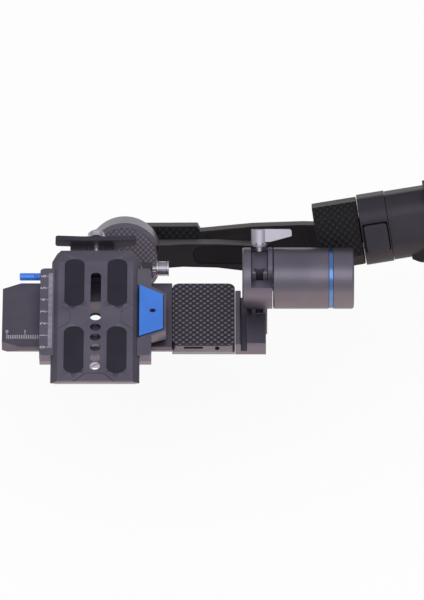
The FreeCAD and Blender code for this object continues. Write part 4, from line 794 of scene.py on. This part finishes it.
@dataclass(frozen=True)
class CameraPlate:
    """The sliding plate with its rubber pads, camera screw and backstop."""

    edge: float = 0.35
    groove_depth: float = 0.5
    side_band: float = 4.2
    near_band: float = 5.5
    far_band: float = 12.0
    flat_half: float = 20.7
    row_half: float = 3.3
    pad_half: float = 5.4
    pad_gap: tuple[float, float] = (-8.0, 9.0)
    pad_crown: float = 0.12
    knob: Knob = Knob(radius=5.0, length=4.5, ridges=36, bite=0.3, flange=0.7, neck=0.2)

    def make(self) -> None:
        """Dress every piece of the plate."""
        self.plate()
        self.pads()
        Softened("camera_screw", POLISHED_STEEL, "camera_screw", SATIN, 0.25, 2,
                 flats=False).make()
        Softened("backstop_bar", BACKSTOP_ANODISED, "backstop", ANODISED, 0.5, 3).make()
        self.thumb_screw()

    def plate(self) -> None:
        """Break the plate's outer edges, its holes and its slot, and leave the fine grooves sharp."""
        low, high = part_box("camera_plate")
        sides = (low.x, high.x)

        def outside(middle: Vector) -> bool:
            """Tell the plate's outline from the grooves and pockets in its top."""
            on_side = min(abs(middle.x - s) for s in sides) < self.side_band * MM
            on_end = middle.y < low.y + self.near_band * MM or middle.y > high.y - self.far_band * MM
            out, flat = abs(middle.x), self.flat_half * MM
            clear = out > flat or (out < flat and on_end)
            in_row = out < self.row_half * MM and middle.z > -self.groove_depth * MM
            groove = middle.z > -self.groove_depth * MM and middle.z < -0.2 * MM
            return ((on_side or on_end) and clear or in_row) and not groove

        Softened("camera_plate", GREY_ANODISED, "plate", ANODISED, self.edge, 2, 18.0, outside,
                 flats=False).make()

    def pads(self) -> None:
        """Mould the four stadium pads, slightly crowned and with soft rims."""
        pieces = []
        low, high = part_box("rubber_pads")
        half = self.pad_half
        for side in (-1, 1):
            for near, far in ((low.y, self.pad_gap[0] * MM), (self.pad_gap[1] * MM, high.y)):
                centre = (side * (high.x - half * MM), near + half * MM, (low.z + high.z) / 2)
                pad = Bench.solid("cylinder", "pad", vertices=64, radius=half * MM,
                                  depth=high.z - low.z, location=centre)
                stretch = far - near - 2 * half * MM
                with Bench.editing(pad, "VERT"):
                    mesh = bmesh.from_edit_mesh(pad.data)
                    for vertex in mesh.verts:
                        vertex.select_set(vertex.co.y > 1e-6)
                    mesh.select_flush(True)
                    bmesh.update_edit_mesh(pad.data)
                    bpy.ops.transform.translate(value=(0, stretch, 0))
                with Bench.editing(pad):
                    Bench.pick_faces(pad, lambda centre, normal: normal.z > 0.9)
                    bpy.ops.mesh.inset(thickness=0.5 * MM, depth=self.pad_crown * MM)
                Bench.settle(pad)
                pieces.append(pad)
        pads = Bench.join("grip_pads", pieces)
        Bench.round_edges(pads, 0.12, 2, 50.0)
        Bench.shade(pads, 50.0)
        Bench.file(pads, PAD_RUBBER, "plate", "pad_rubber", "rubber_pads")

    def thumb_screw(self) -> None:
        """Turn the backstop's thumb screw with its stud and neck."""
        low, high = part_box("backstop_thumb_screw")
        x, z = (low.x + high.x) / 2 / MM, (low.z + high.z) / 2 / MM
        place = axle_place(x, high.y / MM - self.knob.length, z, MODEL.y)
        head = self.knob.barrel(place)
        stud = Bench.settle(Knob.disc((low.y - high.y) / MM + self.knob.length, -0.9, 1.5), place)
        neck = Bench.settle(Knob.disc(-0.9, 0.1, 3.0), place)
        made = Bench.join("thumb_screw", [stud, neck, head])
        Bench.shade(made, 30.0)
        Bench.file(made, POLISHED_STEEL, "thumb_screw", SATIN, "backstop_thumb_screw")


@dataclass(frozen=True)
class Clamp:
    """The carriage that grips the plate, its release button, clamp knob and lock pin."""

    knob: Knob = Knob(radius=4.2, length=7.0, ridges=30, bite=0.32, flange=1.2)
    scale_zero: tuple[float, float] = (-24.0, -24.2)
    scale_length: int = 62

    def make(self) -> None:
        """Dress every piece of the clamp."""
        Softened("clamp_base", GREY_ANODISED, "carriage", ANODISED, 0.5).make()
        Softened("left_jaw", GREY_ANODISED, "carriage", ANODISED, 0.45, 3).make()
        Softened("right_jaw", GREY_ANODISED, "carriage", ANODISED, 0.45, 3).make()
        Softened("clamp_knob_block", BLACK_PLASTIC, "carriage", NYLON, 0.4).make()
        Softened("plate_release_button", BLUE_ANODISED, "release_button", "blue_anodised", 0.3, 3).make()
        Softened("bar_lock_pin", BLUE_ANODISED, "bar_pin", "blue_anodised", 0.3, 2).make()
        Softened("button_screw", BLACK_STEEL, "release_button", FASTENERS, 0.15, 2).make()
        Softened("jaw_screws", BLACK_STEEL, "carriage", FASTENERS, 0.15, 2).make()
        self.clamp_knob()
        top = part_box("left_jaw")[1].z / MM
        Scale("jaw_scale", "carriage", Vector((*self.scale_zero, top)), Vector((0, 1, 0)),
              Vector((-1, 0, 0)), Reading.SIDEWAYS, self.scale_length, 7, short=2.3, long=3.3,
              digit_gap=1.75).make()

    def clamp_knob(self) -> None:
        """Turn the steel knob and the screw that it closes the jaws with."""
        low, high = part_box("clamp_knob")
        centre = (low + high) / 2 / MM
        place = axle_place(high.x / MM - self.knob.length, centre.y, centre.z, MODEL.x)
        head = self.knob.barrel(place)
        shank = Bench.settle(Knob.disc((low.x - high.x) / MM + self.knob.length, 0.2, 1.6), place)
        made = Bench.join("clamp_screw", [shank, head])
        Bench.shade(made, 30.0)
        Bench.file(made, TURNED_STEEL, "clamp_knob", SATIN, "clamp_knob")


@dataclass(frozen=True)
class CrossBar:
    """The dovetail bar with its scale, and the electronics pod at its end."""

    scale_zero: tuple[float, float] = (-49.2, -7.4)
    scale_length: int = 40

    def make(self) -> None:
        """Dress the bar and the pod."""
        Softened("cross_bar", BAR_ANODISED, "platform", ANODISED, 0.5, 3).make()
        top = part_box("cross_bar")[1].z / MM
        Scale("bar_scale", "platform", Vector((*self.scale_zero, top)), Vector((1, 0, 0)),
              Vector((0, 1, 0)), Reading.UPRIGHT, self.scale_length, 2, short=3.2, long=4.4,
              digit_gap=1.6, digit_size=2.4).make()
        Softened("pod_tray", GREY_ANODISED, "platform", ANODISED, 0.5, 3).make()
        FlatCover("pod_lid", MODEL, CARBON, "platform").make()


@dataclass(frozen=True)
class HeightPost:
    """The foot, the upright post and the bracket that hangs on it, with the locking lever."""

    def make(self) -> None:
        """Dress every piece of the post."""
        Softened("post_foot", GREY_ANODISED, "platform", ANODISED, 0.5, 3).make()
        Softened("height_post", GREY_ANODISED, "platform", ANODISED, 0.5, 3).make()
        Softened("tilt_bracket", GREY_ANODISED, "tilt_bracket", ANODISED, 0.5, 3).make()
        Softened("post_screws", BLACK_STEEL, "platform", FASTENERS, 0.15).make()
        Softened("height_lock_lever", SATIN_METAL, "lock_lever", SATIN, 0.7, 3, 28.0).make()


@dataclass(frozen=True)
class Motors:
    """The visible shells of the tilt and roll motors, and the arm between them."""

    def make(self) -> None:
        """Dress the shells and the arm."""
        Softened("tilt_motor_case", SHELL_ANODISED, "roll_assembly", ANODISED, 0.3, 2).make()
        Softened("tilt_light_ring", BLUE_RING, "roll_assembly", "blue_light_ring", 0.3, 2).make()
        Softened("tilt_end_cap", SHELL_ANODISED, "roll_assembly", ANODISED, 0.3, 2, 35.0).make()
        Softened("roll_motor_case", SHELL_ANODISED, "roll_assembly", ANODISED, 0.5, 3).make()
        FlatCover("roll_motor_cover", ROLL_FRONT, PALE_CARBON, "roll_assembly",
                  Weave(across=3.0, along=3.0, rise=0.08)).make()
        Softened("roll_motor_base", DARK_ANODISED, "pan_assembly", ANODISED, 0.5, 3).make()
        Softened("roll_arm", DARK_ANODISED, "roll_assembly", ANODISED, 1.2, 4).make()
        Softened("roll_arm_inlay", INLAY_PLASTIC, "roll_assembly", NYLON, 0.2, 2).make()


@dataclass(frozen=True)
class PanUnit:
    """The long arm with its recessed face and woven cover, and the pan motor's shells."""

    recess_from: float = 43.5
    recess_rim: float = 2.2
    recess_depth: float = 1.0

    def make(self) -> None:
        """Dress the arm and the pan motor."""
        self.arm()
        FlatCover("pan_arm_cover", ROLL_FRONT, DARK_CARBON, "pan_assembly").make()
        WrappedCover().make()
        Softened("pan_motor_housing", DARK_ANODISED, "pan_assembly", ANODISED, 0.5, 3).make()

    def arm(self) -> None:
        """Sink a panel into the arm's front face beyond the cover, and round the arm's edges."""
        made = Bench.cad_copy("pan_arm", "pan_arm_dressed")
        low, _ = ROLL.span("pan_arm_cover")
        with Bench.editing(made):
            bpy.ops.mesh.select_all(action="SELECT")
            bpy.ops.mesh.bisect(plane_co=ROLL.at(self.recess_from, 0, 0), plane_no=ROLL.x)

        def front(centre: Vector, normal: Vector) -> bool:
            """Find the arm's face towards the platform, beyond the cover."""
            spot = ROLL.local(centre)
            return normal.dot(-ROLL.y) > 0.99 and spot.x > self.recess_from and spot.y > low.y

        with Bench.editing(made):
            Bench.pick_faces(made, front)
            bpy.ops.mesh.inset(thickness=self.recess_rim * MM, depth=0.0)
            bpy.ops.mesh.inset(thickness=self.recess_depth * MM, depth=-self.recess_depth * MM)
        Bench.round_edges(made, 1.0, 3, 30.0)
        Bench.shade(made)
        Bench.file(made, DARK_ANODISED, "pan_assembly", ANODISED, "pan_arm")


@dataclass(frozen=True)
class Handle:
    """The handle: collar, shells, rubber grip, end cap and the controls."""

    rib_from: float = 214.0
    rib_pitch: float = 4.2
    rib_count: int = 16
    rib_size: tuple[float, float, float] = (1.8, 22.0, 1.4)
    rows: tuple[tuple[str, Finish, str, str, float, int], ...] = (
        ("handle_collar", HANDLE_PLASTIC, "handle", ANODISED, 0.4, 3),
        ("arm_release_button", HANDLE_PLASTIC, "arm_release", NYLON, 0.2, 2),
        ("handle_front_shell", HANDLE_PLASTIC, "handle", NYLON, 0.3, 2),
        ("handle_back_shell", HANDLE_PLASTIC, "handle", NYLON, 0.3, 2),
        ("handle_end_cap", DARK_ANODISED, "handle", NYLON, 0.4, 2),
        ("tripod_thread_insert", BRASS, "handle", "brass", 0.3, 2),
        ("rubber_grip", GRIP_RUBBER, "handle", "grip_rubber", 0.5, 3),
        ("control_panel", BLACK_PLASTIC, "handle", NYLON, 0.4, 3),
        ("record_button", RECORD_KEY, "record_key", NYLON, 0.3, 3),
        ("mode_button", BLACK_PLASTIC, "mode_key", NYLON, 0.3, 3),
        ("joystick", GRIP_RUBBER, "joystick", NYLON, 0.2, 2),
        ("trigger", BLACK_PLASTIC, "trigger", NYLON, 0.8, 3),
        ("focus_dial", BLACK_PLASTIC, "dial", NYLON, 0.15, 2),
        ("control_pins", BLACK_STEEL, "handle", FASTENERS, 0.2, 2),
    )

    def make(self) -> None:
        """Dress every piece of the handle and mould the ribs of its grip."""
        for node, finish, body, slot, width, segments in self.rows:
            Softened(node, finish, body, slot, width, segments).make()
        self.ribs()

    def ribs(self) -> None:
        """Mould a row of soft ribs on both flanks of the grip."""
        low, high = HANDLE.span("rubber_grip")
        long, wide, tall = self.rib_size
        first = Bench.solid("cube", "rib", size=1.0, scale=(long * MM, wide * MM, tall * MM))
        Bench.settle(first)
        Bench.round_edges(first, 0.6, 3)
        ribs = []
        for face in (low.z, high.z):
            for i in range(self.rib_count):
                rib = Bench.copy(first, Vector())
                spot = HANDLE.at(self.rib_from + i * self.rib_pitch, 0.0, face)
                ribs.append(Bench.settle(rib, Place(spot, HANDLE.x, HANDLE.y, HANDLE.z)))
        bpy.data.objects.remove(first)
        made = Bench.join("grip_ribs", ribs)
        Bench.shade(made, 50.0)
        Bench.file(made, GRIP_RUBBER, "handle", "grip_rubber")


@dataclass(frozen=True)
class HiddenWorks:
    """What the shells hold: the CAD nodes stay as they are, in their real finishes."""

    finishes: tuple[tuple[Finish, tuple[str, ...]], ...] = (
        (MOTOR_STEEL, ("tilt_rotor", "roll_rotor", "pan_rotor")),
        (COPPER, ("tilt_stator", "roll_stator", "pan_stator")),
        (BEARING_STEEL, ("tilt_bearings", "roll_bearings", "pan_bearings")),
        (BOARD_MASK, ("pod_board",)),
        (SOCKET_STEEL, ("pod_sockets",)),
        (CELL_WRAP, ("battery_cells",)),
    )

    def make(self) -> None:
        """Assign each finish."""
        for finish, nodes in self.finishes:
            for node in nodes:
                slots = frame["nodes"][node].data.materials
                slots.clear()
                slots.append(finish.material())
                log.info("%s: %s", node, finish.name)


# ---------------------------------------------------------------- studio
@dataclass(frozen=True)
class Studio:
    """A pale floor, soft light from over the camera's shoulder, and the camera."""

    elevation: float = 41.0
    distance: float = 6.0
    lens: float = 649.8
    target: tuple[float, float, float] = (64.65, 0.0, 12.04)
    floor_drop: float = 60.0
    floor_colour: str = "f4efec"
    key_rise: float = 16.0
    key_power: float = 13.0
    key_size: float = 1.0
    bounce_power: float = 3.2
    bounce_size: float = 0.9
    bounce_colour: str = "ffd9b8"
    sky_dark: str = "242328"
    sky_pale: str = "f3f1f6"
    sky_strength: float = 0.9
    sky_turn: tuple[float, float] = (-0.6, 0.15)
    white_share: float = 0.9

    def make(self) -> None:
        """Set up the studio round the object."""
        scene = bpy.context.scene
        scene.view_settings.view_transform = "Standard"
        self.camera(scene)
        self.floor()
        self.world(scene)
        self.key_light()
        self.bounce()

    def ray(self, rise: float) -> Vector:
        """Give the direction from the object to the camera, raised by some degrees."""
        angle = math.radians(self.elevation + rise)
        return Vector((0.0, -math.cos(angle), math.sin(angle)))

    def aim(self, obj: Piece, rise: float, distance: float) -> None:
        """Put a lamp or camera on a ray from the target and turn it to face the target."""
        back = self.ray(rise)
        obj.location = Vector(self.target) * MM + back * distance
        obj.rotation_mode = "QUATERNION"
        obj.rotation_quaternion = (-back).to_track_quat("-Z", "Y")
        bpy.context.scene.collection.objects.link(obj)

    def camera(self, scene: bpy.types.Scene) -> None:
        """Place the long-lens camera."""
        data = bpy.data.cameras.new("camera")
        data.lens = self.lens
        data.sensor_width = 36.0
        camera = bpy.data.objects.new("camera", data)
        self.aim(camera, 0.0, self.distance)
        data.clip_end = 20.0
        scene.camera = camera

    def lamp(self, name: str, power: float, wide: float, deep: float) -> Piece:
        """Make a soft box that the camera doesn't see.

        Args:
            name: name of the lamp.
            power: its power in watts.
            wide: its width in metres.
            deep: its depth in metres.

        Returns:
            The lamp, not yet in the scene.
        """
        data = bpy.data.lights.new(name, "AREA")
        data.shape = "RECTANGLE"
        data.size = wide
        data.size_y = deep
        data.energy = power
        made = bpy.data.objects.new(name, data)
        made.visible_camera = False
        return made

    def key_light(self) -> None:
        """Hang a wide soft box over the camera's shoulder."""
        box = self.lamp("key", self.key_power, self.key_size * 2.2, self.key_size)
        self.aim(box, self.key_rise, 1.6)

    def bounce(self) -> None:
        """Lay a warm card on the floor in front, which lights the front faces from below."""
        card = self.lamp("floor_bounce", self.bounce_power, self.bounce_size * 1.6, self.bounce_size)
        card.data.color = linear(self.bounce_colour)[:3]
        floor = CAD_BOX[0].z - self.floor_drop * MM
        card.location = (self.target[0] * MM, -self.bounce_size / 2, floor + 2 * MM)
        card.rotation_euler = (math.pi, 0.0, 0.0)
        bpy.context.scene.collection.objects.link(card)

    def world(self, scene: bpy.types.Scene) -> None:
        """Light from all round: bright from the camera's side and dim from behind the object."""
        world = bpy.data.worlds.new("studio")
        world.use_nodes = True
        scene.world = world
        tree = world.node_tree
        tree.nodes.clear()
        way = add_node(tree, "TexCoord").outputs["Generated"]
        parts = add_node(tree, "SeparateXYZ", inputs={"Vector": way})
        away = add_node(tree, "Math", {"operation": "MULTIPLY"}, {0: parts.outputs["Y"], 1: -0.8})
        high = add_node(tree, "Math", {"operation": "MULTIPLY_ADD"}, {
            0: parts.outputs["Z"], 1: 1.2, 2: away.outputs[0]})
        colours = linear(self.sky_dark), linear(self.sky_pale)
        colour = mixed(tree, high.outputs[0], self.sky_turn, colours)
        back = add_node(tree, "Background", inputs={"Color": colour, "Strength": self.sky_strength})
        add_node(tree, "OutputWorld", inputs={"Surface": back.outputs[0]})

    def floor(self) -> None:
        """Lay the floor, which shows white to the camera and in reflections but keeps a soft shadow."""
        height = CAD_BOX[0].z - self.floor_drop * MM
        obj = Bench.solid("plane", "floor", size=12.0, location=(0.0, 0.0, height))
        Bench.settle(obj)
        made = bpy.data.materials.new("pale_studio_floor")
        made.use_nodes = True
        tree = made.node_tree
        tree.nodes.clear()
        path = add_node(tree, "LightPath")
        seen = path.outputs["Is Camera Ray"]
        for kind in ("Is Glossy Ray", "Is Transmission Ray"):
            either = {0: seen, 1: path.outputs[kind]}
            seen = add_node(tree, "Math", {"operation": "MAXIMUM"}, either).outputs[0]
        share = add_node(tree, "Math", {"operation": "MULTIPLY"}, {
            0: seen, 1: self.white_share})
        paint = add_node(tree, "BsdfDiffuse", inputs={"Color": linear(self.floor_colour)})
        white = add_node(tree, "Emission", inputs={"Color": linear("ffffff"), "Strength": 1.0})
        mix = add_node(tree, "MixShader", inputs={
            0: share.outputs[0], 1: paint.outputs[0], 2: white.outputs[0]})
        add_node(tree, "OutputMaterial", inputs={"Surface": mix.outputs[0]})
        obj.data.materials.append(made)


def main() -> None:
    """Dress the frame from the camera's platform to the handle, then set up the studio."""
    logging.basicConfig(level=logging.INFO, format="%(message)s")
    for assembly in (CameraPlate(), Clamp(), CrossBar(), HeightPost(), Motors(), PanUnit(), Handle(),
                     HiddenWorks(), Studio()):
        log.info("-- %s", type(assembly).__name__)
        assembly.make()


if __name__ == "__main__":
    main()
